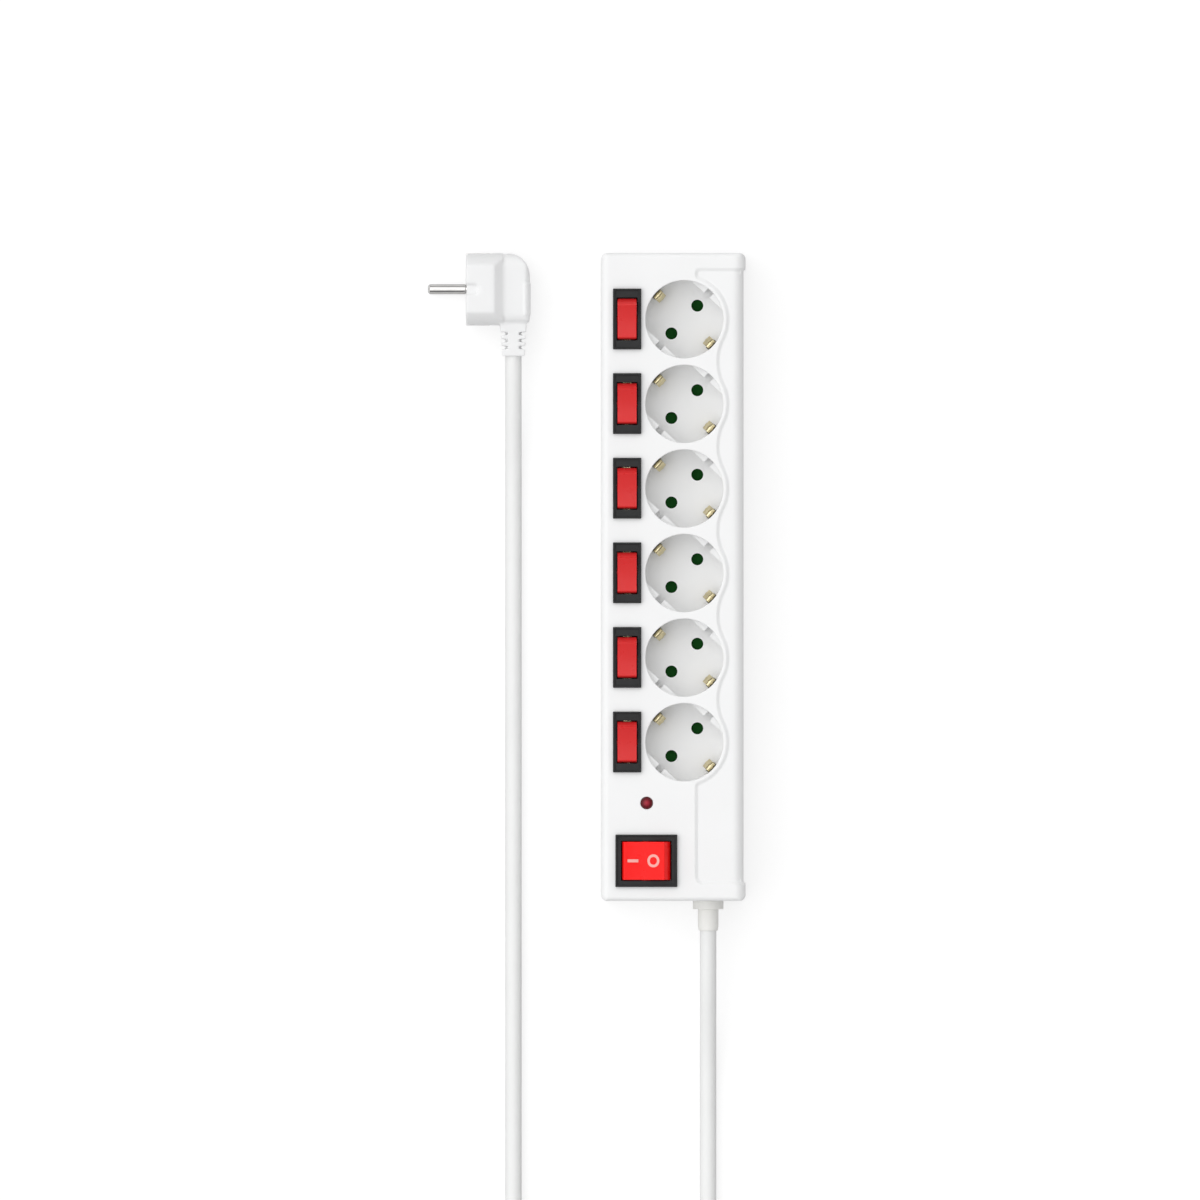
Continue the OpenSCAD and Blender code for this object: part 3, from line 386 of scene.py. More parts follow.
def smooth(obj, angle=CREASE):
    """Smooth shading with sharp edges past an angle, weighted toward the larger faces."""
    mesh = obj.data
    for face in mesh.polygons:
        face.use_smooth = True
    mesh.set_sharp_from_angle(angle=math.radians(angle))
    weights = obj.modifiers.new("weights", "WEIGHTED_NORMAL")
    weights.keep_sharp = True


def faces_outward(obj, close=False):
    """Turn all faces outward. close first joins vertices in one place and fills what is open."""
    work = bmesh.new()
    work.from_mesh(obj.data)
    if close:
        bmesh.ops.remove_doubles(work, verts=work.verts, dist=MERGE)
        bmesh.ops.holes_fill(work, edges=[e for e in work.edges if e.is_boundary], sides=0)
    bmesh.ops.recalc_face_normals(work, faces=work.faces)
    work.to_mesh(obj.data)
    work.free()


def joined_faces(node):
    """A CAD node's mesh, to edit, with the triangles of each flat face joined."""
    work = bmesh.new()
    work.from_mesh(NODES[node].data)
    bmesh.ops.remove_doubles(work, verts=work.verts, dist=MERGE)
    bmesh.ops.dissolve_limit(work, angle_limit=math.radians(SAME_PLANE), verts=work.verts,
                             edges=work.edges)
    return work


def sharp_edges(work, least=SHARP, most=180.0):
    """Edges whose faces meet at an angle in a range of degrees."""
    return [e for e in work.edges if len(e.link_faces) == 2
            and least < math.degrees(e.calc_face_angle(0)) < most]


def round_off(work, edges, width, segments):
    """Round edges."""
    bmesh.ops.bevel(work, geom=edges, offset=width, offset_type="OFFSET", segments=segments,
                    profile=0.5, affect="EDGES", clamp_overlap=True, miter_outer="ARC")
    bmesh.ops.remove_doubles(work, verts=work.verts, dist=MERGE / 10)


def skin(work, node, material, body="strip"):
    """Object from an edited mesh, standing for the CAD node."""
    mesh = bpy.data.meshes.new(f"{node}_skin")
    work.to_mesh(mesh)
    work.free()
    made = added(mesh.name, mesh, material, body)
    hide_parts(node)
    smooth(made)


def finished(node, material, width):
    """Copy of a CAD node with its edges rounded, standing for the node."""
    work = joined_faces(node)
    round_off(work, sharp_edges(work), width, 3)
    skin(work, node, material)


def paint(node, material):
    """A CAD node keeps its shape and takes a material."""
    obj = NODES[node]
    obj.data.materials.clear()
    obj.data.materials.append(MATERIALS[material])


def rounded_frame(centre, half_x, half_y, r, z, steps=5):
    """Rounded rectangle round a centre, level at height z."""
    points = []
    for sx, sy, start in ((1, 1, 0), (-1, 1, 90), (-1, -1, 180), (1, -1, 270)):
        for k in range(steps + 1):
            a = math.radians(start + 90 * k / steps)
            points.append((centre.x + sx * (half_x - r) + r * math.cos(a),
                           centre.y + sy * (half_y - r) + r * math.sin(a), z))
    return points


class Shell:
    """Vertices and faces of one mesh, built ring by ring."""

    def __init__(self):
        self.verts = []
        self.faces = []

    def ring(self, points):
        """Add points. Gives their numbers."""
        first = len(self.verts)
        self.verts += points
        return list(range(first, first + len(points)))

    def band(self, a, b):
        """Faces between two closed rings of as many points."""
        n = len(a)
        for k in range(n):
            j = (k + 1) % n
            self.faces.append((a[k], a[j], b[j], b[k]))


def lofted(name, rings, material, closed=False, body="strip"):
    """Surface over rings of as many points each: the last joined to the first, or both capped."""
    shell = Shell()
    made = [shell.ring(list(r)) for r in rings]
    for a, b in zip(made, made[1:]):
        shell.band(a, b)
    if closed:
        shell.band(made[-1], made[0])
    else:
        shell.faces += [tuple(made[0]), tuple(reversed(made[-1]))]
    obj = new_object(name, shell.verts, shell.faces, material, body)
    faces_outward(obj)
    smooth(obj)
    return obj


# ---- Switches ----

BEZEL_H = 1.2 * MM
RIM_H = 0.6 * MM
RIM_W = 1.0 * MM
SMALL_BODY = (12.6 * MM, 28.4 * MM)
SMALL_OPENING = (10.4 * MM, 21.36 * MM)
MAIN_BODY = (28.6 * MM, 23.9 * MM)
MAIN_OPENING = (25.12 * MM, 19.8 * MM)
PIVOT_DROP = 2.0 * MM      # from the top of the case down to a rocker's pivot
SMALL_CREST = 1.7 * MM
MAIN_CREST = 2.4 * MM
MAIN_DIP = 4.5 * MM        # from the pivot up to the middle of the main rocker's top
TILT = 10.0                # degrees that the main rocker leans at rest
VEE = 12.2                 # degrees that each half of its top slopes
MARK_SINK = 0.3 * MM
MARK_SOFT = 0.05 * MM
BAR_Y = -5.9 * MM          # the marks' places along the rocker from its middle
RING_Y = 4.6 * MM
BAR_HALF = (0.78 * MM, 2.73 * MM)
RING_OUTER, RING_INNER = (3.27 * MM, 3.2 * MM), (1.93 * MM, 2.0 * MM)
FRAME_SOFT = 0.22 * MM     # rounding of the housings' frames
FRAME_CORNER = 0.35 * MM


def make_housing(node, body, opening):
    """Housing with a frame on the cover: sharp-cornered, with a raised edge round a flat."""
    low, high = (Vector(v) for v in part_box(node))
    c = (low + high) / 2
    fx, fy = (high.x - low.x) / 2, (high.y - low.y) / 2
    bx, by = body[0] / 2, body[1] / 2
    ox, oy = opening[0] / 2, opening[1] / 2
    soft, part = FRAME_SOFT, 0.3 * FRAME_SOFT
    flat_z = TOP_Z + BEZEL_H
    rim_z = flat_z + RIM_H
    ix, iy = fx - RIM_W, fy - RIM_W
    dip = 0.1 * MM
    rings = [rounded_frame(c, half_x, half_y, FRAME_CORNER, z) for half_x, half_y, z in (
        (bx, by, low.z), (bx, by, TOP_Z), (fx - soft, fy - soft, TOP_Z), (fx, fy, TOP_Z + soft),
        (fx, fy, rim_z - soft), (fx - part, fy - part, rim_z - part),
        (fx - soft, fy - soft, rim_z), (ix + soft, iy + soft, rim_z),
        (ix + part, iy + part, rim_z - part), (ix, iy, rim_z - soft), (ix, iy, flat_z + dip),
        (ix - dip, iy - dip, flat_z), (ox + soft, oy + soft, flat_z),
        (ox + part, oy + part, flat_z - part), (ox, oy, flat_z - soft), (ox, oy, low.z))]
    housing = lofted(f"{node}_skin", rings, "bezel_black", closed=True)
    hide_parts(node)


def make_rocker(node, material, width, crest, body):
    """Rocker with full roundings at the ends of its top and small ones elsewhere."""
    low, high = (Vector(v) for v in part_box(node))
    size, centre = high - low, (low + high) / 2
    length = 0 if size.x > size.y else 1
    work = joined_faces(node)
    ends = []
    for e in sharp_edges(work, 45, 120):
        a, b = (v.co for v in e.verts)
        spot = (a + b) / 2
        across = abs((b - a).normalized()[1 - length]) > 0.99
        at_end = abs(spot[length] - centre[length]) / size[length] > 0.4
        if across and at_end and spot.z > TOP_Z - 1 * MM:
            ends.append(e)
    round_off(work, ends, crest, 8)
    round_off(work, sharp_edges(work), width, 4)
    skin(work, node, material, body)


def make_marks():
    """Pale bar and ring in the shallow marks of the main rocker."""
    top = (Matrix.Translation((MAIN_SWITCH.x, MAIN_SWITCH.y, TOP_Z - PIVOT_DROP))
           @ Matrix.Rotation(-math.pi / 2, 4, "Z") @ Matrix.Rotation(math.radians(TILT), 4, "X")
           @ Matrix.Translation((0, 0, MAIN_DIP)))

    def slope(sign, y):
        return (top @ Matrix.Rotation(sign * math.radians(VEE), 4, "X")
                @ Matrix.Translation((0, y, 0)))

    low, high = -MARK_SINK - 0.05 * MM, -0.06 * MM
    brink = high - MARK_SOFT
    bar = slope(-1, BAR_Y)
    origin = Vector((0, 0, 0))
    rings = [[bar @ Vector(p)
              for p in rounded_frame(origin, BAR_HALF[0] - e, BAR_HALF[1] - e, 0.2 * MM, z)]
             for e, z in ((0, low), (0, brink), (0.06 * MM, high))]
    lofted("mark_bar", rings, "mark_pink", body="main_rocker")
    place = slope(1, RING_Y)
    (out_low, out_high), (in_low, in_high) = RING_OUTER, RING_INNER
    turns = [2 * math.pi * k / 48 for k in range(48)]
    rings = [[place @ Vector((r * math.cos(a), r * math.sin(a), z)) for a in turns]
             for r, z in ((out_low, low), (out_low, brink), (out_high, high),
                          (in_high, high), (in_low, brink), (in_low, low))]
    lofted("mark_ring", rings, "mark_pink", closed=True, body="main_rocker")


# ---- Plug ----

PLUG_VOXEL = 0.45 * MM
PLUG_PASSES = 14           # rounds of smoothing. The tail has one
GRIP_X = -85.0 * MM        # where the plug's grip begins
GRIP_WIDER = 1.05
GRIP_SHORTER = 0.95
GRIP_EASE = 2.0 * MM       # the length over which the grip widens
GRIP_FADE = 3.0 * MM       # and over which that fades in from the tail
PAD_X = -75.2 * MM         # finger pad on the grip's back
PAD_Y = 139.0 * MM
PAD_HALF = 8.5 * MM
PAD_H = 0.4 * MM
PAD_EASE = 0.8 * MM
TAIL_Y = 126.5 * MM        # where the plug's moulded tail begins


def relax(work, picked):
    """Move every picked vertex halfway toward its neighbours."""
    bmesh.ops.smooth_vert(work, verts=[v for v in work.verts if picked(v)], factor=0.5,
                          use_axis_x=True, use_axis_y=True, use_axis_z=True)


def make_plug():
    """The plug's body with softened edges, and its grip carried out to the width of its front."""
    mesh = NODES["plug_body"].data.copy()
    made = bpy.data.objects.new("plug_body_skin", mesh)
    scene.collection.objects.link(made)
    remesh = made.modifiers.new("remesh", "REMESH")
    remesh.mode = "VOXEL"
    remesh.voxel_size = PLUG_VOXEL
    solved = made.evaluated_get(bpy.context.evaluated_depsgraph_get())
    whole = bpy.data.meshes.new_from_object(solved)
    made.modifiers.clear()
    made.data = whole
    axis_y = middle("plug_pins").y
    work = bmesh.new()
    work.from_mesh(whole)
    for _ in range(PLUG_PASSES):
        relax(work, lambda v: v.co.y > TAIL_Y)
    relax(work, lambda v: v.co.y <= TAIL_Y)
    for v in work.verts:
        if v.co.x > GRIP_X:
            ease = min(1.0, (v.co.x - GRIP_X) / GRIP_EASE)
            fade = max(0.0, min(1.0, (v.co.y - TAIL_Y) / GRIP_FADE))
            v.co.y = axis_y + (v.co.y - axis_y) * (1 + (GRIP_WIDER - 1) * ease * fade)
            v.co.x = GRIP_X + (v.co.x - GRIP_X) * (1 + (GRIP_SHORTER - 1) * fade)
    work.normal_update()
    pads = []
    for v in work.verts:
        within = min((v.co.x - PAD_X) / PAD_EASE, (PAD_HALF - abs(v.co.y - PAD_Y)) / PAD_EASE, 1.0)
        if within > 0:
            pads.append((v, v.normal * PAD_H * within))
    for v, move in pads:
        v.co += move
    work.to_mesh(whole)
    work.free()
    for face in whole.polygons:
        face.use_smooth = True
    whole.materials.clear()
    whole.materials.append(MATERIALS["plug_white"])
    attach(made, "strip")
    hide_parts("plug_body")


# ---- Earth clips ----

PIN_TURN = 47.0
EARTH_Z = TOP_Z - 37 * MM
CLIP_R = WELL_R - 0.8 * MM
CLIP_TOP = TOP_Z - 4.4 * MM
CLIP_W = 5.0 * MM
CLIP_T = 0.8 * MM
RAIL_HALF = 2.0 * MM
RAIL_TAIL = 18.0 * MM      # how far the rail runs past the last socket's axis
RAIL_HEAD = 5.0 * MM       # and past the first one's


def rounded_path(points, r, steps=5):
    """Line through points in a plane with its bends rounded off over a length r each way."""
    path = [Vector(points[0])]
    for a, b, c in zip(points, points[1:], points[2:]):
        a, b, c = Vector(a), Vector(b), Vector(c)
        start = b + (a - b).normalized() * min(r, (a - b).length * 0.45)
        end = b + (c - b).normalized() * min(r, (c - b).length * 0.45)
        for k in range(steps + 1):
            t = k / steps
            path.append(start * (1 - t) ** 2 + b * 2 * t * (1 - t) + end * t * t)
    path.append(Vector(points[-1]))
    return path


def make_clips():
    """Two bent strips a socket, with a pressed channel along the middle, on one bar."""
    foot_z = EARTH_Z + 0.5 * MM
    bend = rounded_path([
        (1.2 * MM, foot_z), (CLIP_R, foot_z), (CLIP_R, CLIP_TOP - 1.1 * MM),
        (CLIP_R - 0.7 * MM, CLIP_TOP), (CLIP_R - 1.7 * MM, CLIP_TOP - 0.4 * MM),
        (CLIP_R - 3.8 * MM, CLIP_TOP - 6.1 * MM), (CLIP_R - 2.3 * MM, CLIP_TOP - 10.6 * MM)],
        1.3 * MM)
    half, t = CLIP_W / 2, CLIP_T / 2
    wide, narrow = 0.9 * MM, 0.5 * MM      # half widths of the channel at its edge and its floor
    front = [(-half, -t * 0.5), (-half + t * 0.5, -t), (-wide, -t), (-narrow, -t - 0.2 * MM),
             (narrow, -t - 0.2 * MM), (wide, -t), (half - t * 0.5, -t), (half, -t * 0.5)]
    back = [(half, t * 0.5), (half - t * 0.5, t), (wide, t), (narrow, t - 0.25 * MM),
            (-narrow, t - 0.25 * MM), (-wide, t), (-half + t * 0.5, t), (-half, t * 0.5)]
    section = front + back
    shell = Shell()
    for cup in CUPS:
        for side in (90, -90):
            turn = Matrix.Translation((cup.x, cup.y, 0)) @ Matrix.Rotation(
                math.radians(PIN_TURN + side), 4, "Z")
            rings = []
            for k, p in enumerate(bend):
                way = (bend[min(k + 1, len(bend) - 1)] - bend[max(k - 1, 0)]).normalized()
                normal = Vector((-way.y, way.x))
                rings.append(shell.ring([turn @ Vector((p.x + normal.x * h, w, p.y + normal.y * h))
                                         for w, h in section]))
            for a, b in zip(rings, rings[1:]):
                shell.band(a, b)
            shell.faces += [tuple(rings[0]), tuple(reversed(rings[-1]))]
    clips = new_object("earth_clips", shell.verts, shell.faces, "brass")
    smooth(clips, 45)
    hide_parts("earth_bar")
    tail_y, head_y = CUPS[-1].y - RAIL_TAIL, CUPS[0].y + RAIL_HEAD
    centre = Vector((CUPS[0].x, (tail_y + head_y) / 2, 0))
    rings = [rounded_frame(centre, RAIL_HALF - e, (head_y - tail_y) / 2 - e, 0.3 * MM, EARTH_Z + z)
             for e, z in ((0.1 * MM, 0), (0, 0.1 * MM), (0, 0.9 * MM), (0.1 * MM, 1 * MM))]
    lofted("earth_rail", rings, "brass")


# ---- Cord ----

CORD_D = 8.2 * MM
COIL = Vector((-31.25, -390.0, 0)) * MM
COIL_R = 48.75 * MM
COIL_Z = 4.9 * MM
COIL_TURNS = 2.5
LAYER = 8.2 * MM
CLIMB = 60.0               # degrees in which the cord climbs onto the turn below it
STRIP_ROUTE = [
    (17.5, -139, 20), (17.5, -180, 20), (17.5, -190, 19.5), (17.5, -200, 18.2), (17.5, -210, 15.9),
    (17.5, -221, 12), (17.5, -232, 8.2), (17.5, -242, 5.9), (17.5, -252, 4.6), (17.5, -262, 4.1),
    (17.5, -300, 4.1), (17.5, -340, 4.1), (17.5, -360, 4.5), (17.5, -375, 4.9)]
PLUG_ROUTE = [
    (-80, -375, 20.8), (-80, -365, 19.2), (-80, -355, 16.7), (-80, -345, 12.7), (-80, -335, 8.7),
    (-80, -325, 6.2), (-80, -315, 4.6), (-80, -305, 4.1), (-80, -270, 4.1), (-80, -220, 4.1),
    (-80, -160, 4.1), (-80, -100, 4.1), (-80, -50, 4.1), (-80, 0, 4.1), (-80, 40, 4.1),
    (-80, 50, 4.5), (-80, 60, 5.6), (-80, 70, 7.6), (-80, 80, 10.2), (-80, 90, 12.2),
    (-80, 99, 13.5), (-80, 105, 13.8), (-80, 110.7, 13.8)]


def coil_points():
    """Turns from the strip's side to the plug's side, each lying on the one before."""
    step = 15.0
    count = int(COIL_TURNS * 360 / step)
    for k in range(count + 1):
        turned = k * step
        whole, part = divmod(turned, 360.0)
        rise = max(0.0, (part - (360 - CLIMB)) / CLIMB)
        eased = rise * rise * (3 - 2 * rise)
        angle = math.radians(-turned)
        yield COIL + Vector((COIL_R * math.cos(angle), COIL_R * math.sin(angle),
                             COIL_Z + LAYER * (whole + eased)))


def make_cord():
    """The cord in one piece: from the strip to the coil, round it, and on to the plug."""
    points = [Vector(p) * MM for p in STRIP_ROUTE]
    points += list(coil_points())
    points += [Vector(p) * MM for p in PLUG_ROUTE]
    curve = bpy.data.curves.new("mains_cord", "CURVE")
    curve.dimensions = "3D"
    curve.bevel_depth = CORD_D / 2
    curve.bevel_resolution = 6
    curve.resolution_u = 6
    curve.use_fill_caps = True
    spline = curve.splines.new("NURBS")
    spline.points.add(len(points) - 1)
    for control, p in zip(spline.points, points):
        control.co = (*p, 1)
    spline.order_u = 4
    spline.use_endpoint_u = True
    spline.use_smooth = True
    cord = bpy.data.objects.new("mains_cord", curve)
    scene.collection.objects.link(cord)
    curve.materials.append(MATERIALS["cord_white"])
    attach(cord, "strip")
    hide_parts("cord_strip_side", "cord_coil", "cord_plug_side")
    return cord


# ---- Top cover ----

LEFT_EDGE_R = 4.0 * MM
RIGHT_EDGE_R = 5.5 * MM
END_EDGE_R = 2.3 * MM
CORNER_R = 3.0 * MM
PANEL_STEP = 1.0 * MM
STEP_REACH = 1.1 * MM      # how far the panel's soft step spreads to each side
PANEL_LEFT = CUPS[0].x + 6 * MM
PANEL_HEAD = case_high.y - 8.25 * MM
PANEL_TAIL = case_low.y + 8.85 * MM
WAVE_R = 21.75 * MM
DIP_R = 25.5 * MM
DIP_X = CUPS[0].x + math.sqrt((WAVE_R + DIP_R) ** 2 - (PITCH / 2) ** 2)
NOSE_R = 1.6 * MM
PANEL_CORNER_R = 3.5 * MM
WELL_RIM = 0.5 * MM
ROOF = 2.5 * MM
WALL = 2.2 * MM
CHAMFER = 0.3 * MM         # on the outside at the joint with the base
FLAT_CORNER_R = 0.25 * MM  # where the top goes flat at a corner
SWITCH_ROOM = 0.15 * MM    # gap round a switch's housing
SWITCH_RIM = 0.15 * MM
LAMP_HOLE_R = 3.1 * MM
LAMP_RIM = 0.35 * MM
EDGE_STEPS = 9             # faces across the rounded outer edge
RIM_STEPS = 5              # and across the rounded rim of an opening
LEVELS = [STEP_REACH * k / 5 for k in range(-5, 6)]


def eased_step(distance):
    """0 on the high side of the panel's edge, 1 on the panel, with a soft S between."""
    t = min(1.0, max(0.0, (distance / STEP_REACH + 1) / 2))
    return t * t * (3 - 2 * t)


def inside_panel(x, y):
    """Distance from the panel's edge, positive on the panel."""
    wave = min(math.hypot(x - c.x, y - c.y) for c in CUPS) - WAVE_R
    for a, b in zip(CUPS, CUPS[1:]):
        dip_y = (a.y + b.y) / 2
        if b.y <= y <= a.y and x > a.x:
            near = a if y > dip_y else b
            slope = (PITCH / 2) / (DIP_X - a.x)
            if abs(y - near.y) > slope * (x - near.x):
                wave = DIP_R - math.hypot(x - DIP_X, y - dip_y)
    left, tail, head = x - PANEL_LEFT, y - PANEL_TAIL, PANEL_HEAD - y
    corner = PANEL_CORNER_R
    low = min(left, tail)
    if left < corner and tail < corner:
        low = corner - math.hypot(corner - left, corner - tail)
    return min(wave, low, head, left)


def top_height(x, y):
    """Height of the cover's top at a place."""
    return TOP_Z - PANEL_STEP * eased_step(inside_panel(x, y))


def arc(cx, cy, r, start, end, steps, side):
    """Points of an arc with their directions into the panel. side is 1 if it bulges into it."""
    rows = []
    for k in range(steps + 1):
        a = math.radians(start + (end - start) * k / steps)
        c, d = math.cos(a), math.sin(a)
        rows.append((cx + r * c, cy + r * d, side * c, side * d))
    return rows


def panel_edge():
    """The panel's edge from its head round to its tail: points and directions into the panel."""
    first, last = CUPS[0], CUPS[-1]
    x = PANEL_LEFT + NOSE_R
    rise = math.sqrt((WAVE_R + NOSE_R) ** 2 - (x - first.x) ** 2)
    meet = math.degrees(math.atan2(rise, x - first.x))
    lean = math.degrees(math.atan2(PITCH / 2, DIP_X - first.x))
    edge = [(x + NOSE_R, PANEL_HEAD, 0, -1)]
    edge += arc(x, PANEL_HEAD - NOSE_R, NOSE_R, 90, 180, 8, -1)
    edge += arc(x, first.y + rise, NOSE_R, 180, 180 + meet, 8, -1)
    for cup in CUPS:
        start = meet if cup is first else lean
        end = -meet if cup is last else -lean
        edge += arc(cup.x, cup.y, WAVE_R, start, end, round((start - end) / 4), 1)
        if cup is not last:
            edge += arc(DIP_X, cup.y - PITCH / 2, DIP_R, 180 - lean, 180 + lean, 16, -1)[1:-1]
    edge += arc(x, last.y - rise, NOSE_R, 180 - meet, 180, 8, -1)
    foot = PANEL_LEFT + PANEL_CORNER_R
    edge += arc(foot, PANEL_TAIL + PANEL_CORNER_R, PANEL_CORNER_R, 180, 270, 10, -1)
    return edge


def panel_line(level, right):
    """Line at one distance inside the panel's edge, from its head to its tail on the right side."""
    line = [(right, PANEL_HEAD - level)]
    for x, y, nx, ny in panel_edge():
        p = (x + nx * level, y + ny * level)
        if math.dist(p, line[-1]) > 0.02 * MM:
            line.append(p)
    line.append((right, PANEL_TAIL + level))
    return line


def case_outline():
    """Plan of the case: (outer point, point where the top goes flat, drop of the edge) for each
    place round it, anticlockwise from the lower left corner."""
    x0, x1, y0, y1 = case_low.x, case_high.x, case_low.y, case_high.y
    stops = sorted({PANEL_TAIL + v for v in LEVELS} | {PANEL_HEAD - v for v in LEVELS}
                   | {PANEL_TAIL + (PANEL_HEAD - PANEL_TAIL) * k / 60 for k in range(1, 60)})
    rows = []

    def side_step(y):
        return PANEL_STEP * eased_step(min(y - PANEL_TAIL, PANEL_HEAD - y))

    def corner(cx, cy, sx, sy, start, edge_x, edge_y, inset):
        steps = 10
        for k in range(steps + 1):
            a = math.radians(start + 90 * k / steps)
            turn = k / steps if start in (0, 180) else 1 - k / steps
            outer = (cx + CORNER_R * math.cos(a) - inset, cy + CORNER_R * math.sin(a))
            small = FLAT_CORNER_R
            flat = (cx + sx * (CORNER_R - edge_x - small) + small * math.cos(a) - inset,
                    cy + sy * (CORNER_R - edge_y - small) + small * math.sin(a))
            mix = turn * turn * (3 - 2 * turn)
            rows.append((outer, flat, edge_x * (1 - mix) + edge_y * mix))

    corner(x0 + CORNER_R, y0 + CORNER_R, -1, -1, 180, LEFT_EDGE_R, END_EDGE_R, 0)
    for k in range(1, 16):
        x = x0 + CORNER_R + (x1 - x0 - 2 * CORNER_R) * k / 16
        rows.append(((x, y0), (x, y0 + END_EDGE_R), END_EDGE_R))
    corner(x1 - CORNER_R, y0 + CORNER_R, 1, -1, 270, RIGHT_EDGE_R, END_EDGE_R, 0)
    for y in stops:
        inset = side_step(y)
        rows.append(((x1 - inset, y), (x1 - inset - RIGHT_EDGE_R, y), RIGHT_EDGE_R))
    corner(x1 - CORNER_R, y1 - CORNER_R, 1, 1, 0, RIGHT_EDGE_R, END_EDGE_R, 0)
    for k in range(1, 16):
        x = x1 - CORNER_R - (x1 - x0 - 2 * CORNER_R) * k / 16
        rows.append(((x, y1), (x, y1 - END_EDGE_R), END_EDGE_R))
    corner(x0 + CORNER_R, y1 - CORNER_R, -1, 1, 90, LEFT_EDGE_R, END_EDGE_R, 0)
    for k in range(1, 60):
        y = y1 - CORNER_R - (y1 - y0 - 2 * CORNER_R) * k / 60
        rows.append(((x0, y), (x0 + LEFT_EDGE_R, y), LEFT_EDGE_R))
    return rows


def oblong(low, high, n=10):
    """Rectangle's outline, anticlockwise, with points along its sides."""
    x0, y0, x1, y1 = low[0], low[1], high[0], high[1]
    points = [(x0 + (x1 - x0) * k / n, y0) for k in range(n)]
    points += [(x1, y0 + (y1 - y0) * k / n) for k in range(n)]
    points += [(x1 - (x1 - x0) * k / n, y1) for k in range(n)]
    points += [(x0, y1 - (y1 - y0) * k / n) for k in range(n)]
    return points


def circle_points(c, r, n):
    """Outline of a circle, anticlockwise."""
    return [(c.x + r * math.cos(2 * math.pi * k / n), c.y + r * math.sin(2 * math.pi * k / n))
            for k in range(n)]


def switch_plan(centre, body):
    """Outline of the opening for a switch's housing, as a function of how far it is widened."""
    half_x, half_y = body[0] / 2 + SWITCH_ROOM, body[1] / 2 + SWITCH_ROOM
    return lambda r: oblong((centre.x - half_x - r, centre.y - half_y - r),
                            (centre.x + half_x + r, centre.y + half_y + r))


def opening_plans():
    """Openings in the cover: (outline as a function of how far it is widened, rim's radius)."""
    plans = [(lambda r, c=cup: circle_points(c, WELL_R + r, 96), WELL_RIM) for cup in CUPS]
    plans += [(switch_plan(s, SMALL_BODY), SWITCH_RIM) for s in SMALL_SWITCHES]
    plans.append((switch_plan(MAIN_SWITCH, MAIN_BODY), SWITCH_RIM))
    plans.append((lambda r: circle_points(LAMP, LAMP_HOLE_R + r, 40), LAMP_RIM))
    return plans


def fill_plan(loops, lines):
    """Triangles of the plane inside the first loop, outside the others, along the given lines.

    Gives the points, the triangles, each loop's points by number and the line that a point is on.
    """
    verts, edges = [], []
    for loop in loops:
        first = len(verts)
        verts += [Vector(p) for p in loop]
        edges += [(first + k, first + (k + 1) % len(loop)) for k in range(len(loop))]
    spans = []
    for level, line in enumerate(lines):
        first = len(verts)
        spans.append((level, first, len(line)))
        verts += [Vector(p) for p in line]
        edges += [(first + k, first + k + 1) for k in range(len(line) - 1)]
    scale = 1000.0
    out = geometry.delaunay_2d_cdt([v * scale for v in verts], edges, [], 0, 1e-4)
    points, faces = [v / scale for v in out[0]], out[2]
    back = {}
    for k, sources in enumerate(out[3]):
        for s in sources:
            back[s] = k
    rings, first = [], 0
    for loop in loops:
        rings.append([back[first + k] for k in range(len(loop))])
        first += len(loop)

    def within(p, loop):
        hit = False
        for (ax, ay), (bx, by) in zip(loop, loop[1:] + loop[:1]):
            if (ay > p[1]) != (by > p[1]) and p[0] < (bx - ax) * (p[1] - ay) / (by - ay) + ax:
                hit = not hit
        return hit

    on_line = {back[first + k]: level for level, first, count in spans for k in range(count)}
    kept = []
    boxes = [(min(p[0] for p in hole), max(p[0] for p in hole),
              min(p[1] for p in hole), max(p[1] for p in hole)) for hole in loops[1:]]
    for face in faces:
        c = sum((points[k] for k in face), Vector((0, 0))) / len(face)
        holes = [hole for hole, (x0, x1, y0, y1) in zip(loops[1:], boxes)
                 if x0 < c.x < x1 and y0 < c.y < y1]
        if within(c, loops[0]) and not any(within(c, h) for h in holes):
            kept.append(tuple(face))
    return points, kept, rings, on_line


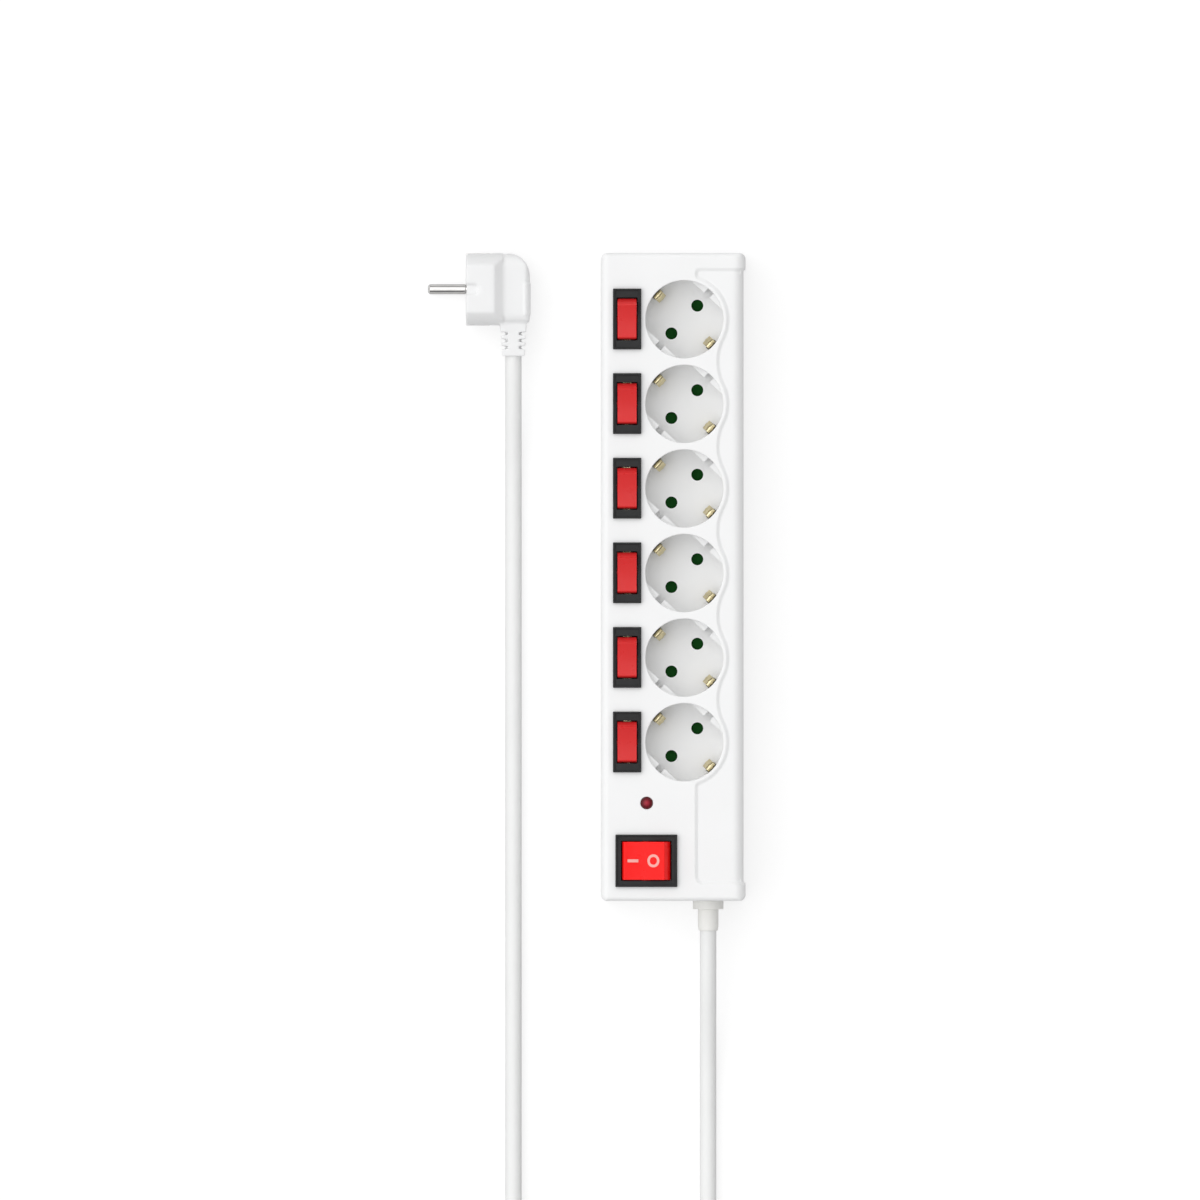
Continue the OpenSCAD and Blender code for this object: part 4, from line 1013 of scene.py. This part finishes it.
def make_cover():
    """The cover as one shell: top with its panel, rounded edges, inside and openings."""
    shell = Shell()
    rows = case_outline()
    plans = opening_plans()
    right = case_high.x - RIGHT_EDGE_R
    loops = [[flat for _, flat, _ in rows]] + [plan(rim) for plan, rim in plans]
    lines = [panel_line(level, right - PANEL_STEP * eased_step(level)) for level in LEVELS]
    points, faces, rings, on_line = fill_plan(loops, lines)
    heights = [TOP_Z - PANEL_STEP * eased_step(LEVELS[on_line[k]]) if k in on_line
               else top_height(p.x, p.y) for k, p in enumerate(points)]
    top = shell.ring([(p.x, p.y, z) for p, z in zip(points, heights)])
    shell.faces += [tuple(top[k] for k in f) for f in faces]

    # Outer edge, rounded down to the side and on to the joint with the base
    ring = [top[k] for k in rings[0]]
    for k in range(1, EDGE_STEPS + 1):
        a = math.pi / 2 * k / EDGE_STEPS
        points_here = []
        for outer, flat, drop in rows:
            z = top_height(*flat) - drop * (1 - math.cos(a))
            points_here.append((flat[0] + (outer[0] - flat[0]) * math.sin(a),
                                flat[1] + (outer[1] - flat[1]) * math.sin(a), z))
        nxt = shell.ring(points_here)
        shell.band(nxt, ring)
        ring = nxt
    mid = (case_low + case_high) / 2

    def inward(p, d):
        return (p[0] - math.copysign(d, p[0] - mid.x), p[1] - math.copysign(d, p[1] - mid.y))

    for inset, rise in ((0, 2), (0, 1), (0.35, 0.3), (1, 0)):
        nxt = shell.ring([(*inward(r[0], inset * CHAMFER), JOINT_Z + rise * CHAMFER) for r in rows])
        shell.band(nxt, ring)
        ring = nxt

    # Inside: rim, wall and roof
    inner = [inward(r[0], WALL) for r in rows]
    for z in (JOINT_Z, TOP_Z - ROOF):
        nxt = shell.ring([(*p, z) for p in inner])
        shell.band(nxt, ring)
        ring = nxt
    low_loops = [inner] + [plan(0) for plan, _ in plans]
    low_points, low_faces, low_rings, _ = fill_plan(low_loops, [])
    roof = shell.ring([(p.x, p.y, TOP_Z - ROOF) for p in low_points])
    shell.faces += [tuple(roof[k] for k in reversed(f)) for f in low_faces]
    shell.band([roof[k] for k in low_rings[0]], ring)

    # Openings: rounded rim, then straight down to the roof's underside
    for n, (plan, rim) in enumerate(plans, start=1):
        ring = [top[k] for k in rings[n]]
        heights = [top_height(*p) for p in plan(rim)]
        for k in range(1, RIM_STEPS + 1):
            a = math.pi / 2 * k / RIM_STEPS
            outline = plan(rim * (1 - math.sin(a)))
            nxt = shell.ring([(*p, h - rim * (1 - math.cos(a))) for p, h in zip(outline, heights)])
            shell.band(ring, nxt)
            ring = nxt
        shell.band(ring, [roof[k] for k in low_rings[n]])
    cover = new_object("cover_shell", shell.verts, shell.faces, "case_white")
    faces_outward(cover, close=True)
    smooth(cover)
    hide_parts("top_cover")


# ---- Build ----

make_camera()
make_world()
make_sun(*KEY)
make_sun(*FILL)
make_floor()
make_materials()
cord = make_cord()
make_cover()
finished("base_shell", "case_white", 0.4 * MM)
for i in SOCKETS:
    finished(f"socket_cup_{i}", "well_white", 0.25 * MM)
    make_housing(f"switch_housing_{i}", SMALL_BODY, SMALL_OPENING)
    make_rocker(f"switch_rocker_{i}", "rocker_red", 0.6 * MM, SMALL_CREST, f"rocker_{i}")
    paint(f"shutter_{i}", "shutter_green")
    paint(f"switch_lever_{i}", "brass")
make_housing("main_switch_housing", MAIN_BODY, MAIN_OPENING)
make_rocker("main_switch_rocker", "main_red", 0.3 * MM, MAIN_CREST, "main_rocker")
make_marks()
make_clips()
finished("indicator_lamp", "lamp_red", 0.2 * MM)
make_plug()
finished("strain_relief", "sleeve_ivory", 0.4 * MM)
finished("plug_pins", "nickel", 0.3 * MM)
finished("plug_earth_contacts", "nickel", 0.2 * MM)
finished("cord_tie", "tie_black", 0.3 * MM)
for node, look in {
        "shutter_springs": "spring_steel", "neutral_bar": "brass", "live_contacts": "brass",
        "live_feed_bar": "brass", "switch_terminals": "brass", "main_switch_levers": "brass",
        "main_switch_terminals": "brass", "surge_board": "board_green",
        "varistors": "varistor_blue", "case_screws": "screw_steel", "clamp_screws": "screw_steel",
        "cord_clamp": "case_white", "rubber_feet": "foot_rubber", "live_leads": "live_brown",
        "neutral_leads": "neutral_blue", "earth_lead": "earth_green"}.items():
    paint(node, look)
scene.view_settings.view_transform = "Standard"
